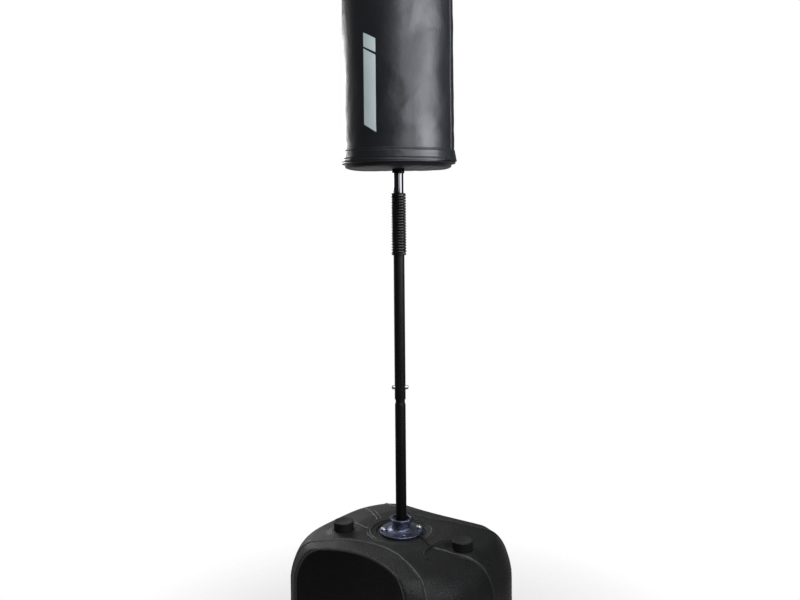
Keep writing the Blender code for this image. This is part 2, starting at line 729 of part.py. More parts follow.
def spring_points():
    """Centre line of the spring: its coils, with a straight run of one wire diameter at each end."""
    radius = SPRING_OUTER_R - SPRING_WIRE_R
    low = SPRING_BOTTOM_Z + SPRING_WIRE_R + 3.0 * GAP
    high = SPRING_TOP_Z - SPRING_WIRE_R - 3.0 * GAP
    steps = SPRING_TURNS * SPRING_POINTS_PER_TURN
    coil = []
    for k in range(steps + 1):
        x, y = polar(radius, 2.0 * math.pi * k / SPRING_POINTS_PER_TURN)
        coil.append(Vector((x, y, low + (high - low) * k / steps)))
    run = 2.0 * SPRING_WIRE_R
    return [coil[0] - Vector((0.0, run, 0.0)), *coil, coil[-1] + Vector((0.0, run, 0.0))]


def least_gap(points, wire_radius):
    """Least distance between the surfaces of turns that aren't next to each other in the wire."""
    centres = np.array([p[:] for p in points])
    skip = SPRING_POINTS_PER_TURN // 2
    least = 1.0
    for i in range(len(centres) - skip):
        others = centres[i + skip:]
        starts, ends = others[:-1], others[1:]
        if len(starts) == 0:
            continue
        along = ends - starts
        t = np.clip(((centres[i] - starts) * along).sum(1) / (along * along).sum(1), 0.0, 1.0)
        nearest = starts + along * t[:, None]
        least = min(least, np.linalg.norm(nearest - centres[i], axis=1).min())
    return least - 2.0 * wire_radius


def make_spring(materials, pivot):
    points = spring_points()
    gap = least_gap(points, SPRING_WIRE_R)
    print(f"bend_spring: least gap between turns {gap * 1000:.2f} mm")
    assert gap > SPRING_MIN_GAP
    curve = bpy.data.curves.new("bend_spring", "CURVE")
    curve.dimensions = "3D"
    curve.bevel_depth = SPRING_WIRE_R
    curve.bevel_resolution = 1
    curve.use_fill_caps = True
    spline = curve.splines.new("POLY")
    spline.points.add(len(points) - 1)
    for target, point in zip(spline.points, points):
        target.co = (point.x, point.y, point.z - pivot.location.z, 1.0)
    spring = bpy.data.objects.new("bend_spring", curve)
    curve.materials.append(materials["paint"])
    bpy.context.scene.collection.objects.link(spring)
    spring.location = pivot.location
    spring.parent = pivot
    spring.matrix_parent_inverse = Matrix.Translation(-pivot.location)


def make_plugs(materials, pivot):
    tube_bore = SPIGOT_R + GAP
    shoulder = SPRING_BOTTOM_Z
    nose = shoulder + PLUG_REACH
    profile = [(0.0, shoulder - PLUG_TAIL), (tube_bore - GAP, shoulder - PLUG_TAIL),
               (tube_bore - GAP, shoulder - PLUG_SHOULDER_HEIGHT),
               (PLUG_SHOULDER_R - PLUG_EDGE, shoulder - PLUG_SHOULDER_HEIGHT),
               (PLUG_SHOULDER_R, shoulder - PLUG_SHOULDER_HEIGHT + PLUG_EDGE),
               (PLUG_SHOULDER_R, shoulder), (PLUG_R, shoulder), (PLUG_R, nose - PLUG_NOSE),
               (PLUG_R - PLUG_NOSE, nose), (0.0, nose)]
    turned("spring_lower_plug", profile, materials["paint"])
    shoulder = SPRING_TOP_Z
    nose = shoulder - PLUG_REACH
    rod_bore = ROD_R - TUBE_WALL
    profile = [(0.0, shoulder + PLUG_TAIL), (rod_bore - GAP, shoulder + PLUG_TAIL),
               (rod_bore - GAP, shoulder + PLUG_SHOULDER_HEIGHT),
               (PLUG_SHOULDER_R - PLUG_EDGE, shoulder + PLUG_SHOULDER_HEIGHT),
               (PLUG_SHOULDER_R, shoulder + PLUG_SHOULDER_HEIGHT - PLUG_EDGE),
               (PLUG_SHOULDER_R, shoulder), (PLUG_R, shoulder), (PLUG_R, nose + PLUG_NOSE),
               (PLUG_R - PLUG_NOSE, nose), (0.0, nose)]
    plug = turned("spring_upper_plug", profile, materials["paint"])
    place(plug, pivot.location, pivot)


# Rod and bag


def make_rod(materials, pivot):
    bore = ROD_R - TUBE_WALL
    bottom = SPRING_TOP_Z + PLUG_SHOULDER_HEIGHT + GAP
    rod = turned("upper_rod", [(bore, bottom), (ROD_R, bottom), (ROD_R, ROD_TOP_Z), (bore, ROD_TOP_Z)],
                 materials["gloss"])
    top = ROD_TOP_Z + GAP
    half = 0.5 * END_CAP_HEIGHT
    cap = turned("rod_end_cap", [(0.0, top - END_CAP_DEPTH), (bore - GAP, top - END_CAP_DEPTH),
                                 (bore - GAP, top), (ROD_R, top), (ROD_R, top + half),
                                 (ROD_R - half, top + END_CAP_HEIGHT), (0.0, top + END_CAP_HEIGHT)],
                 materials["plastic"])
    collar_top = BAG_BOTTOM_Z - COLLAR_BELOW_BAG
    collar_bottom = collar_top - COLLAR_HEIGHT
    inner = ROD_R + GAP
    collar = turned("stop_collar", [(inner, collar_bottom), (COLLAR_R - COLLAR_EDGE, collar_bottom),
                                    (COLLAR_R, collar_bottom + COLLAR_EDGE), (COLLAR_R, collar_top),
                                    (inner, collar_top)], materials["paint"])
    for obj in (rod, cap, collar):
        place(obj, pivot.location, pivot)


def panel_profile(z, sign):
    """Half-section of an end panel; sign is +1 where its bulge points up."""
    reach = BAG_R - PIPING_R - 2.0 * GAP
    outer, inner = [], []
    for t, rise in PANEL_ROWS:
        radius = SLEEVE_R + GAP + (reach - SLEEVE_R - GAP) * t
        bulge = PANEL_BULGE * rise
        outer.append((radius, z + sign * bulge))
        inner.append((radius - PANEL_THICKNESS * t**8, z + sign * (bulge - PANEL_THICKNESS)))
    return outer, inner


def make_bag(materials, axis):
    leather = materials["leather"]
    pieces = []
    inner_r = BAG_R - COVER_THICKNESS
    low, high = BAG_BOTTOM_Z, BAG_TOP_Z
    middle = 0.5 * (low + high)
    sleeve_bottom = low - SLEEVE_BELOW_BAG
    sleeve_top = ROD_TOP_Z + SLEEVE_ABOVE_ROD
    pieces.append(turned("bag_sleeve", [
        (SLEEVE_BORE_R, sleeve_bottom), (SLEEVE_R, sleeve_bottom), (SLEEVE_R, sleeve_top),
        (0.0, sleeve_top), (0.0, sleeve_top - SLEEVE_ROOF), (SLEEVE_BORE_R, sleeve_top - SLEEVE_ROOF)],
        materials["plastic"]))
    bottom_outer, bottom_inner = panel_profile(low + PANEL_INSET, -1.0)
    top_outer, top_inner = panel_profile(high - PANEL_INSET, 1.0)
    top_outer[0] = (0.0, top_outer[0][1])
    top_inner[0] = (0.0, top_inner[0][1])
    core_r = inner_r - GAP
    profile = [(r - CORE_INSET * (r / core_r)**8, z + GAP) for r, z in bottom_inner]
    profile += [(core_r, bottom_inner[-1][1] + GAP), (core_r, top_inner[-1][1] - GAP)]
    profile += [(r - CORE_INSET * (r / core_r)**8, z - GAP) for r, z in reversed(top_inner)]
    profile += [(0.0, sleeve_top + GAP), (SLEEVE_R + GAP, sleeve_top + GAP)]
    pieces.append(turned("bag_core", profile, materials["foam"]))
    skin_low, skin_high = low + COVER_INSET, high - COVER_INSET
    pieces.append(turned("bag_cover", [
        (inner_r, skin_low), (BAG_R, skin_low), (BAG_R, middle), (BAG_R, skin_high),
        (inner_r, skin_high), (inner_r, middle)], leather, BAG_SEGMENTS))
    for end, edge, sign in (("bottom", low, 1.0), ("top", high, -1.0)):
        near = BAG_R + GAP
        rows = []
        for fraction, flare in BAND_ROWS:
            rows.append((near + BAND_FLARE * flare, edge + sign * BAND_HEIGHT * fraction))
        outer = [(r + BAND_THICKNESS, z) for r, z in rows]
        pieces.append(turned(f"bag_{end}_band", rows + outer[::-1], leather, BAG_SEGMENTS))
        section = [(BAG_R + x, edge + sign * PIPING_INSET + z) for x, z in round_section(PIPING_R, 6)]
        pieces.append(turned(f"bag_{end}_piping", section, leather, BAG_SEGMENTS))
    for end, outer, inner in (("bottom", bottom_outer, bottom_inner), ("top", top_outer, top_inner)):
        pieces.append(turned(f"bag_{end}_panel", outer + inner[::-1], leather, BAG_SEGMENTS))
    pieces.append(make_seam_strip(leather))
    for obj in pieces:
        place(obj, axis.location, axis)


def make_seam_strip(material):
    """The lap that covers the cover's upright seam."""
    low = BAG_BOTTOM_Z + BAND_HEIGHT + SEAM_CLEARANCE
    high = BAG_TOP_Z - BAND_HEIGHT - SEAM_CLEARANCE
    near, far = BAG_R + GAP, BAG_R + GAP + SEAM_THICKNESS
    spread = SEAM_WIDTH / BAG_R
    bm = bmesh.new()
    rings = []
    for i in range(SEAM_COLUMNS):
        azimuth = SEAM_AZIMUTH + spread * (i / (SEAM_COLUMNS - 1) - 0.5)
        ring = []
        for radius, z in ((near, low), (far, low), (far, high), (near, high)):
            ring.append(bm.verts.new((*polar(radius, azimuth), z)))
        rings.append(ring)
    for a, b in zip(rings, rings[1:]):
        for k in range(4):
            j = (k + 1) % 4
            bm.faces.new((a[k], b[k], b[j], a[j]))
    bm.faces.new(rings[0])
    bm.faces.new(rings[-1][::-1])
    return finish("bag_seam_strip", bm, material)


def main():
    clear_scene()
    materials = make_materials()
    make_tank(materials)
    make_water(materials)
    make_caps(materials)
    make_tethers(materials)
    make_flange(materials)
    make_fixings(materials)
    make_tubes(materials)
    make_clip(materials)
    quarter = 0.25 * (SPRING_TOP_Z - SPRING_BOTTOM_Z)
    lower_bend = make_pivot("spring_bend_lower", (0.0, 0.0, SPRING_BOTTOM_Z + quarter))
    upper_bend = make_pivot("spring_bend_upper", (0.0, 0.0, SPRING_TOP_Z - quarter), lower_bend)
    make_plugs(materials, upper_bend)
    make_spring(materials, lower_bend)
    make_rod(materials, upper_bend)
    make_bag(materials, upper_bend)


main()
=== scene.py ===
"""Looks of the freestanding punching bag: surfaces, materials, camera and light.

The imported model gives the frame. Pieces here are built in the same metres and ride on its bodies.
"""

import math

import bmesh
import bpy
import numpy as np
from mathutils import Matrix, Vector, noise


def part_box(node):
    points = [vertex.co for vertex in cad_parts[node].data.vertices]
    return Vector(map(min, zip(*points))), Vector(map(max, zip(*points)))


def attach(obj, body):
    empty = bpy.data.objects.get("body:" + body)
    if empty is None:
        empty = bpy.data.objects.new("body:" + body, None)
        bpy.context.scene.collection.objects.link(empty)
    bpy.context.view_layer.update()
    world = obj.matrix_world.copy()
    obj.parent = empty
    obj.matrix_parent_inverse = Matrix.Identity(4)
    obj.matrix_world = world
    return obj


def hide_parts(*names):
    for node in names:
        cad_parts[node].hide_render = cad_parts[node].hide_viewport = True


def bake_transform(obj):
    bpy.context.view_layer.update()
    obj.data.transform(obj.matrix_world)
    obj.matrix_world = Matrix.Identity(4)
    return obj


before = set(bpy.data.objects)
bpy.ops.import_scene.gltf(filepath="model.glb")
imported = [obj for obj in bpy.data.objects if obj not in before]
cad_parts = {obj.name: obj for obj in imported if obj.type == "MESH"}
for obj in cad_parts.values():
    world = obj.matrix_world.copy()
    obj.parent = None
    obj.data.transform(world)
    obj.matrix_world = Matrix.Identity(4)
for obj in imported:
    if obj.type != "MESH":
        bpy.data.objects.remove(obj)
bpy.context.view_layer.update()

GAP = 0.0003
TURN = 2.0 * math.pi
UP = Vector((0.0, 0.0, 1.0))
ROUND = 96
MEDIUM = 48

# Base tank: a rounded square in its own u, v axes, as in the part's source
BAY_AZIMUTH = math.radians(232.9)
TANK_HALF_U = 0.2152
TANK_HALF_V = 0.2300
TANK_CORNER_R = 0.1535
TANK_FOOT_R = 0.010
TANK_TOP_Z = 0.3375
DOME_CROWN_Z = 0.3441
DOME_U = 0.377
DOME_V = 0.546
SHOULDER_WIDTH = 0.0465
SHOULDER_DROP = 0.0765
TANK_WAVE = 0.0004
TANK_WAVE_LENGTH = 0.07
TOP_FORMS_Z = TANK_TOP_Z - 0.10

# Bays, their sloping margin with a raised fold line, and their rounded edge
BAY_CENTRE_R = 0.417
BAY_R = 0.275
BAY_MARGIN = 0.0412
MARGIN_GAIN = 0.0055
MARGIN_GAIN_V = 0.025
MARGIN_GAIN_SPREAD = 0.055
MARGIN_LOSS = 0.0085
MARGIN_LOSS_V = (0.03, 0.12)
BAY_MARGIN_SLOPE = 0.10
BAY_EDGE = 0.004
BAY_EDGE_REACH = 0.004
LINE_REACH = 0.003
BAY_SEGMENTS = 288
BAY_CUTTER_Z = (-0.02, 0.40)
BAY_CUTTER_ROWS = 44
FOLD_WIDTH = 0.0034
FOLD_HEIGHT = 0.0016

# Seat for the flange
SEAT_R = 0.0585
SEAT_FLOOR_Z = 0.3332
SEAT_RING_R = 0.0700
SEAT_RING_Z = 0.3363
LIP_RADII = (0.0718, 0.0782)
LIP_REACH = 0.004
LIP_WIDTH = 0.0016
LIP_HEIGHT = 0.0011
LIP_WORN_AZIMUTH = math.radians(212.0)
LIP_FAINT = 0.25

# Beads on the top, which fade out down the wall
BEAD_WIDTH = 0.0036
BEAD_HEIGHT = 0.0026
BEAD_REACH = 0.012
BEAD_FADE_Z = (0.16, 0.20)
BEAD_FRONT = ((0.0720, -0.0960), (0.0804, -0.0990), (0.1031, -0.1060), (0.1253, -0.1155),
              (0.1476, -0.1215), (0.1707, -0.1212), (0.1848, -0.1225), (0.2000, -0.1230))
BEAD_BACK = ((-0.0575, 0.0650), (-0.0585, 0.0780), (-0.0685, 0.1084), (-0.0790, 0.1400),
             (-0.0879, 0.1666))
BEAD_BACK_TWIN = ((-0.0480, 0.0720), (-0.0500, 0.0848), (-0.0580, 0.1100), (-0.0652, 0.1323))

# Ridges and the bays' edges are painted pale high up, and less so on the rear half: partly wear, partly
# a painted highlight
WEAR_AND_HIGHLIGHT_Z = (0.12, 0.20)
WEAR_AND_HIGHLIGHT_REAR = 0.25
EDGE_WEAR_AND_HIGHLIGHT = 0.55
EDGE_WEAR_AND_HIGHLIGHT_MIDDLE = 0.0018
EDGE_WEAR_AND_HIGHLIGHT_WIDTH = 0.0024
EDGE_WEAR_AND_HIGHLIGHT_START = 0.0002

# Filler necks, caps and straps
CAP_CENTRES = {"left": (-0.1334, 0.0120), "right": (0.1331, -0.0875)}
CAP_R = 0.0230
CAP_HEIGHT = 0.0190
CAP_RIBS = 48
CAP_RIB_DEPTH = 0.0004
PAD_R = 0.0238
PAD_LIFT = 0.0008
PAD_SLOPE = 0.018
PAD_COVERED = 0.0010
NECK_R = 0.0188
NECK_BORE_R = 0.0155
NECK_HEIGHT = 0.0145
NECK_DEPTH = 0.030
STRAP_WIDTH = 0.0055
STRAP_THICKNESS = 0.0014
STRAP_LIFT = 0.0008
STRAP_DROP = 0.0030
STRAP_CLEARANCE = 0.0008
STRAP_ROUTES = {
    "left": ((-0.0954, 0.0065, 0.010), (-0.0850, 0.0075, 0.004), (-0.0765, 0.0085, STRAP_LIFT)),
    "right": ((0.0971, -0.0795, 0.0125), (0.0814, -0.0810, 0.0080), (0.0663, -0.0880, 0.0030),
              (0.0595, -0.0700, STRAP_LIFT), (0.0500, -0.0480, STRAP_LIFT), (0.0430, -0.0320, -0.0008)),
}
STRAP_TAIL = ((0.0670, -0.0890, 0.0031), (0.0570, -0.1015, 0.0020), (0.0505, -0.1130, STRAP_LIFT),
              (0.0491, -0.1275, STRAP_LIFT), (0.0537, -0.1420, STRAP_LIFT))

# Floor flange and bolts
FLANGE_R = 0.0500
FLANGE_BOTTOM_Z = 0.3335
FLANGE_TOP_Z = 0.3395
FLARE_R = 0.0330
FLARE_HEIGHT = 0.0075
HUB_R = 0.0225
HUB_BORE_R = 0.0165
RIM_R = 0.0267
RIM_BORE_R = 0.0195
RIM_TOP_Z = 0.3670
RIM_HEIGHT = 0.0075
RIM_SIDES = 8
RIM_FLATNESS = 0.75
BOLT_CENTRE_R = 0.0415
BOLT_AZIMUTH = math.radians(8.0)
BOLT_R = 0.0040
WASHER_BORE_R = 0.0043
BOLT_HEAD_R = 0.0062
BOLT_HEAD_HEIGHT = 0.0046
HOLLOW_R = 0.0021
HOLLOW_DEPTH = 0.0016

# Post: inner and outer radii of its round parts
LOWER_TUBE = (0.0109, 0.0123)
SPIGOT = (0.0094, 0.0108)
SPIGOT_BASE_Z = 0.6275
UPPER_TUBE = (0.0111, 0.0126)
ROD = (0.0103, 0.0117)
COLLAR = (0.0120, 0.0142)
COLLAR_EDGE = 0.0012
POST_SEGMENTS = 64

# Snap buttons and the leaf spring behind them
BUTTON_Z = 0.6660
BUTTON_R = 0.0047
BUTTON_HOLE = ((0.0, 0.004), (0.0050, 0.004), (0.0050, 0.03), (0.0, 0.03))
BUTTON_REACH = 0.0195
BUTTON_DOME = 0.0023
BUTTON_INNER_X = 0.0090
CLIP_THICKNESS = 0.0007
CLIP_WIDTH = 0.0080
CLIP_BOTTOM_Z = 0.6100
CLIP_TOP_Z = 0.6720

# Bend spring
SPRING_BOTTOM_Z = 0.974
SPRING_TOP_Z = 1.108
SPRING_OUTER_R = 0.0174
SPRING_WIRE_R = 0.0029
SPRING_TURNS = 21.25
SPRING_STEPS = 40
SPRING_END = 0.0012
SPRING_SIDES = 12

# Bag
BAG_BOTTOM_Z = 1.180
BAG_TOP_Z = 1.780
BAG_R = 0.1270
BAG_FULLNESS = 0.0024
COVER_INSET = 0.0035
COVER_BELOW_BAND = 0.0006
COVER_SWELL = 0.0005
COVER_WAVE = 0.0009
COVER_FREE = 0.05
BAND_HEIGHT = 0.0250
BAND_THICKNESS = 0.0011
BAND_FLARE = 0.0016
BAND_LIP = 0.0034
BAND_RIPPLE = 0.00035
BAND_END_ROLL = 0.0010
BAND_EDGE_ROLL = 0.0009
BAND_ROWS = (0.02, 0.05, 0.08, *(0.12 + 0.04 * k for k in range(21)), 0.95, 0.98, 1.0)
PANEL_THICKNESS = 0.0022
PANEL_BULGE = 0.0125
PANEL_INSET = 0.0006
PANEL_MIDDLE = 0.80
PANEL_SIDE_SAG = 0.0030
HEM_LEAN = 0.0055
BAND_SIDE_LIFT = 0.0035
BAND_TOP_LIFT = 0.0030
PIPING_R = 0.0023
SLEEVE_R = 0.0150
BORE_TOP_Z = 1.6525
SEAM_AZIMUTH = math.radians(-19.0)
SEAM_WIDTH = 0.020
SEAM_THICKNESS = 0.0010
SEAM_STITCHES = (0.14, 0.86)
BAG_COLUMNS = 180
BAG_AZIMUTHS = [TURN * i / BAG_COLUMNS for i in range(BAG_COLUMNS)]
BAG_ROW = 0.005
STITCH_LENGTH = 0.0036
STITCH_PITCH = 0.0052
STITCH_R = 0.00055
STITCH_ROWS = (0.24, 0.88)
STITCH_GROOVE = 0.0009
STITCH_GROOVE_WIDTH = 0.0013

# Cloth simulation of the filled cover and end panels
SETTLE_FRAMES = 20
CLOTH = {"quality": 5, "tension_stiffness": 15.0, "compression_stiffness": 15.0,
         "bending_stiffness": 2.0, "vertex_group_mass": "sewn", "use_pressure": True}
COVER_PRESSURE = 4.0
COVER_GROWTH = 0.006
COVER_MOVE = 0.0020
COVER_SMOOTHING = 14
PANEL_PRESSURE = 2.0
PANEL_GROWTH = 0.010
PANEL_SUPPORT = 0.02
PANEL_STEPS = 26

# Soft hollows in the cover: (azimuth in degrees, height, half width in metres, half height, depth)
HOLLOWS = (
    (-90.0, 1.318, 0.022, 0.030, 0.0022),
    (-70.0, 1.440, 0.020, 0.050, 0.0012),
    (-95.0, 1.235, 0.022, 0.024, 0.0012),
    (-140.0, 1.330, 0.030, 0.060, 0.0016),
    (-30.0, 1.380, 0.024, 0.045, 0.0012),
    (-60.0, 1.520, 0.030, 0.050, 0.0014),
    (-110.0, 1.620, 0.034, 0.040, 0.0015),
    (40.0, 1.300, 0.034, 0.040, 0.0018),
    (95.0, 1.450, 0.040, 0.045, 0.0020),
    (150.0, 1.260, 0.030, 0.035, 0.0016),
    (170.0, 1.560, 0.036, 0.060, 0.0016),
    (10.0, 1.600, 0.034, 0.045, 0.0016),
)

# Soft creases: two ends as (azimuth in degrees, height), then height and half width in metres
CREASES = (
    ((-69.0, 1.330), (-87.0, 1.283), 0.0007, 0.0050),
    ((-104.0, 1.395), (-92.0, 1.352), 0.0004, 0.0050),
    ((-48.0, 1.262), (-60.0, 1.232), 0.0005, 0.0045),
    ((60.0, 1.400), (84.0, 1.352), 0.0006, 0.0055),
    ((172.0, 1.300), (150.0, 1.345), 0.0006, 0.0055),
)

# Printed stripes: edges as azimuths, then (low, high) heights at the left and right edges
STRIPE_LEFT = math.radians(-124.6)
STRIPE_RIGHT = math.radians(-111.2)
STRIPE_SHORT = ((1.4238, 1.4542), (1.4078, 1.4378))
STRIPE_LONG = ((1.2558, 1.4197), (1.2373, 1.4025))

# Camera: level, a little rolled, with the frame shifted down to the base
CAMERA_PLACE = (0.0028, -1.695, 1.023)
CAMERA_ROLL = -0.5
CAMERA_LENS = 33.165
CAMERA_SHIFT = -0.085

# Floor: a pale disc that fades out into the white backdrop
FLOOR_R = 1.10
FLOOR_SOLID_R = 0.30
FLOOR_GLOW = 0.36

# Studio: a room that grows brighter from front to back; mirrors also see a white wall behind on the
# left and a pale floor. The ranges are cosines of the angle from a direction.
ROOM_FRONT = 0.05
ROOM_BACK = 0.12
ROOM_DIRECTION = (-0.75, 0.50, 0.43)
ROOM_RANGE = (-0.2, 0.8)
WALL_DIRECTION = (-0.57, 0.82, 0.0)
WALL_RANGE = (0.70, 0.95)
WALL_TOP = 0.30
WALL_FOOT = 0.08
PALE_FLOOR = 0.30
PALE_FLOOR_DIRECTION = (0.0, 1.0, 0.0)
PALE_FLOOR_RANGE = (0.5, 0.8)
PALE_FLOOR_TOP = -0.12
KEY_COLOUR = (0.92, 0.92, 1.0)
WHITE = (1.0, 1.0, 1.0)

# Soft boxes: azimuth, distance, height, size, radiance, height aimed at, spread, colour
LAMPS = {
    "key": (60.0, 2.0, 1.68, (1.5, 1.3), 1.65, 1.50, 64.0, KEY_COLOUR),
    "fill": (20.0, 2.3, 1.85, (1.2, 1.2), 0.85, 1.45, 64.0, KEY_COLOUR),
    "front": (6.0, 2.0, 3.60, (1.6, 1.4), 4.5, 0.6, 180.0, WHITE),
    "rim": (-145.0, 2.4, 1.635, (1.0, 0.73), 2.4, 1.40, 64.0, WHITE),
    "top": (0.0, 0.01, 3.6, (2.0, 2.0), 2.0, 0.0, 180.0, WHITE),
}

LEATHER_COLOUR = (0.0112, 0.0122, 0.0150)


# Materials


class Nodes:
    """Adds shader nodes to a tree and joins them."""

    def __init__(self, tree):
        self.nodes = tree.nodes
        self.links = tree.links

    def feed(self, socket, value):
        if isinstance(value, bpy.types.NodeSocket):
            self.links.new(value, socket)
        else:
            socket.default_value = value

    def node(self, kind, inputs=(), **settings):
        node = self.nodes.new("ShaderNode" + kind)
        for key, value in settings.items():
            setattr(node, key, value)
        for key, value in dict(inputs).items():
            self.feed(node.inputs[key], value)
        return node

    def math(self, operation, first, second=0.0, clamp=False):
        inputs = {0: first, 1: second}
        return self.node("Math", inputs, operation=operation, use_clamp=clamp).outputs[0]

    def remap(self, value, low, high, to_low=0.0, to_high=1.0):
        keys = ("Value", "From Min", "From Max", "To Min", "To Max")
        inputs = dict(zip(keys, (value, low, high, to_low, to_high)))
        return self.node("MapRange", inputs).outputs["Result"]


class Finish(Nodes):
    """A Principled material whose textures are laid out in metres of object space."""

    def __init__(self, name, colour, roughness, metallic=0.0, **sockets):
        self.material = bpy.data.materials.new(name)
        self.material.use_nodes = True
        super().__init__(self.material.node_tree)
        self.shader = self.nodes["Principled BSDF"]
        self.place = self.node("TexCoord").outputs["Object"]
        self.set(Base_Color=(*colour, 1.0), Roughness=roughness, Metallic=metallic, **sockets)

    def set(self, **sockets):
        """Feed the shader's sockets, whose spaces are written as underscores."""
        for socket, value in sockets.items():
            self.feed(self.shader.inputs[socket.replace("_", " ")], value)

    def stretched(self, x, y, z):
        """Object space scaled along each axis."""
        return self.node("Mapping", {"Vector": self.place, "Scale": (x, y, z)}).outputs["Vector"]

    def noise(self, scale, detail=2.0, vector=None):
        inputs = {"Vector": vector or self.place, "Scale": scale, "Detail": detail}
        return self.node("TexNoise", inputs).outputs["Fac"]

    def cells(self, scale, feature="F1"):
        inputs = {"Vector": self.place, "Scale": scale}
        return self.node("TexVoronoi", inputs, feature=feature).outputs["Distance"]

    def mix(self, factor, first, second):
        node = self.node("Mix", data_type="RGBA")
        self.feed(node.inputs["Factor"], factor)
        for socket, value in zip([s for s in node.inputs if s.type == "RGBA"], (first, second)):
            self.feed(socket, (*value, 1.0) if isinstance(value, tuple) else value)
        return next(s for s in node.outputs if s.type == "RGBA")

    def bump(self, height, distance, strength=1.0):
        """Lay a bump over those already there."""
        node = self.node("Bump", {"Height": height, "Distance": distance, "Strength": strength})
        normal = self.shader.inputs["Normal"]
        if normal.is_linked:
            self.links.new(normal.links[0].from_socket, node.inputs["Normal"])
        self.links.new(node.outputs["Normal"], normal)


def moulded_plastic():
    """Blow-moulded plastic with a pebbled grain; its ridges are painted paler, partly as wear and
    partly as a painted highlight, and the bays' walls are painted darker as painted shade.
    """
    finish = Finish("moulded_black_plastic", (0.0140, 0.0148, 0.0144), 0.50)
    pebbles = finish.cells(330.0, "SMOOTH_F1")
    fine = finish.noise(900.0, 3.0)
    patches = finish.noise(14.0, 4.0)
    wear_and_highlight = finish.node("Attribute", attribute_name="wear_and_highlight").outputs["Fac"]
    painted_bay_shade = finish.node("Attribute", attribute_name="painted_bay_shade").outputs["Fac"]
    spots = finish.remap(patches, 0.35, 0.65)
    plain = finish.mix(spots, (0.0138, 0.0148, 0.0142), (0.0200, 0.0210, 0.0204))
    # Painted shade: the bays' walls are darkened, and their specular lowered below.
    shaded = finish.mix(painted_bay_shade, plain, (0.0035, 0.0034, 0.0040))
    hollows = finish.remap(pebbles, 0.15, 0.75, 0.0, 0.45)
    speckled = finish.mix(hollows, shaded, (0.0070, 0.0072, 0.0072))
    # Pale ridges: partly wear, partly a painted highlight where rounded edges would catch the light.
    broken = finish.remap(finish.noise(160.0, 3.0), 0.30, 0.55, 0.45, 1.0)
    worn_and_lit = finish.math("MULTIPLY", wear_and_highlight, broken)
    finish.set(
        Base_Color=finish.mix(worn_and_lit, speckled, (0.110, 0.113, 0.118)),
        Specular_IOR_Level=finish.remap(painted_bay_shade, 0.0, 1.0, 0.40, 0.22),
        Roughness=finish.remap(patches, 0.3, 0.7, 0.40, 0.54),
    )
    finish.bump(pebbles, 0.0014, 0.65)
    finish.bump(fine, 0.0003, 0.35)
    return finish.material


def leather(name="black_coated_fabric"):
    """Black coated fabric with a fine grain and soft creases."""
    finish = Finish(name, LEATHER_COLOUR, 0.38)
    grain = finish.cells(900.0, "SMOOTH_F1")
    creases = finish.noise(60.0, 5.0, finish.stretched(1.0, 1.0, 0.45))
    swells = finish.noise(21.0, 3.0)
    smudges = finish.noise(9.0, 4.0)
    finish.set(Roughness=finish.remap(smudges, 0.3, 0.7, 0.32, 0.47))
    finish.bump(grain, 0.00022, 0.45)
    finish.bump(creases, 0.0010, 0.26)
    finish.bump(swells, 0.0040, 0.40)
    return finish


def inside(finish, value, low, high):
    """1 where value lies between low and high."""
    above = finish.math("GREATER_THAN", value, low)
    below = finish.math("LESS_THAN", value, high)
    return finish.math("MULTIPLY", above, below)


def cover_leather():
    """The same fabric with two pale printed stripes."""
    finish = leather("printed_black_coated_fabric")
    place = finish.node("SeparateXYZ", {"Vector": finish.place})
    azimuth = finish.math("ARCTAN2", place.outputs["Y"], place.outputs["X"])
    across = finish.remap(azimuth, STRIPE_LEFT, STRIPE_RIGHT)
    columns = inside(finish, azimuth, STRIPE_LEFT, STRIPE_RIGHT)
    masks = []
    for (left_low, left_high), (right_low, right_high) in (STRIPE_SHORT, STRIPE_LONG):
        low = finish.remap(across, 0.0, 1.0, left_low, right_low)
        high = finish.remap(across, 0.0, 1.0, left_high, right_high)
        masks.append(finish.math("MULTIPLY", columns, inside(finish, place.outputs["Z"], low, high)))
    ink = finish.mix(finish.noise(25.0, 4.0), (0.56, 0.67, 0.66), (0.63, 0.74, 0.73))
    finish.set(Base_Color=finish.mix(finish.math("ADD", *masks), LEATHER_COLOUR, ink))
    return finish.material


def plated(name, colour, roughness):
    """Plated or bare metal with faint crystals and a brushed grain."""
    finish = Finish(name, colour, roughness, 1.0)
    patches = finish.remap(finish.noise(70.0, 5.0), 0.35, 0.65)
    brushed = finish.noise(160.0, 3.0)
    finish.set(
        Base_Color=finish.mix(patches, tuple(0.62 * c for c in colour), colour),
        Roughness=finish.remap(brushed, 0.3, 0.7, roughness - 0.08, roughness + 0.10),
    )
    finish.bump(finish.noise(1400.0, 2.0), 0.00008, 0.5)
    return finish.material


def paint(name, colour, roughness, specular=0.5):
    """Sprayed paint with orange peel and fine scuffs."""
    finish = Finish(name, colour, roughness, Specular_IOR_Level=specular)
    scuffs = finish.noise(220.0, 4.0, finish.stretched(1.0, 1.0, 0.12))
    finish.set(Roughness=finish.remap(scuffs, 0.35, 0.75, roughness - 0.04, roughness + 0.12))
    finish.bump(finish.noise(700.0, 2.0), 0.00010, 0.35)
    return finish.material


def gloss_paint():
    """Thick black enamel with a hard clear coat."""
    coat = {"Coat_Weight": 1.0, "Coat_IOR": 1.5, "Coat_Roughness": 0.06}
    finish = Finish("gloss_black_enamel", (0.0040, 0.0040, 0.0042), 0.12, **coat)
    finish.bump(finish.noise(300.0, 2.0, finish.stretched(1.0, 1.0, 0.10)), 0.00006, 0.3)
    return finish.material


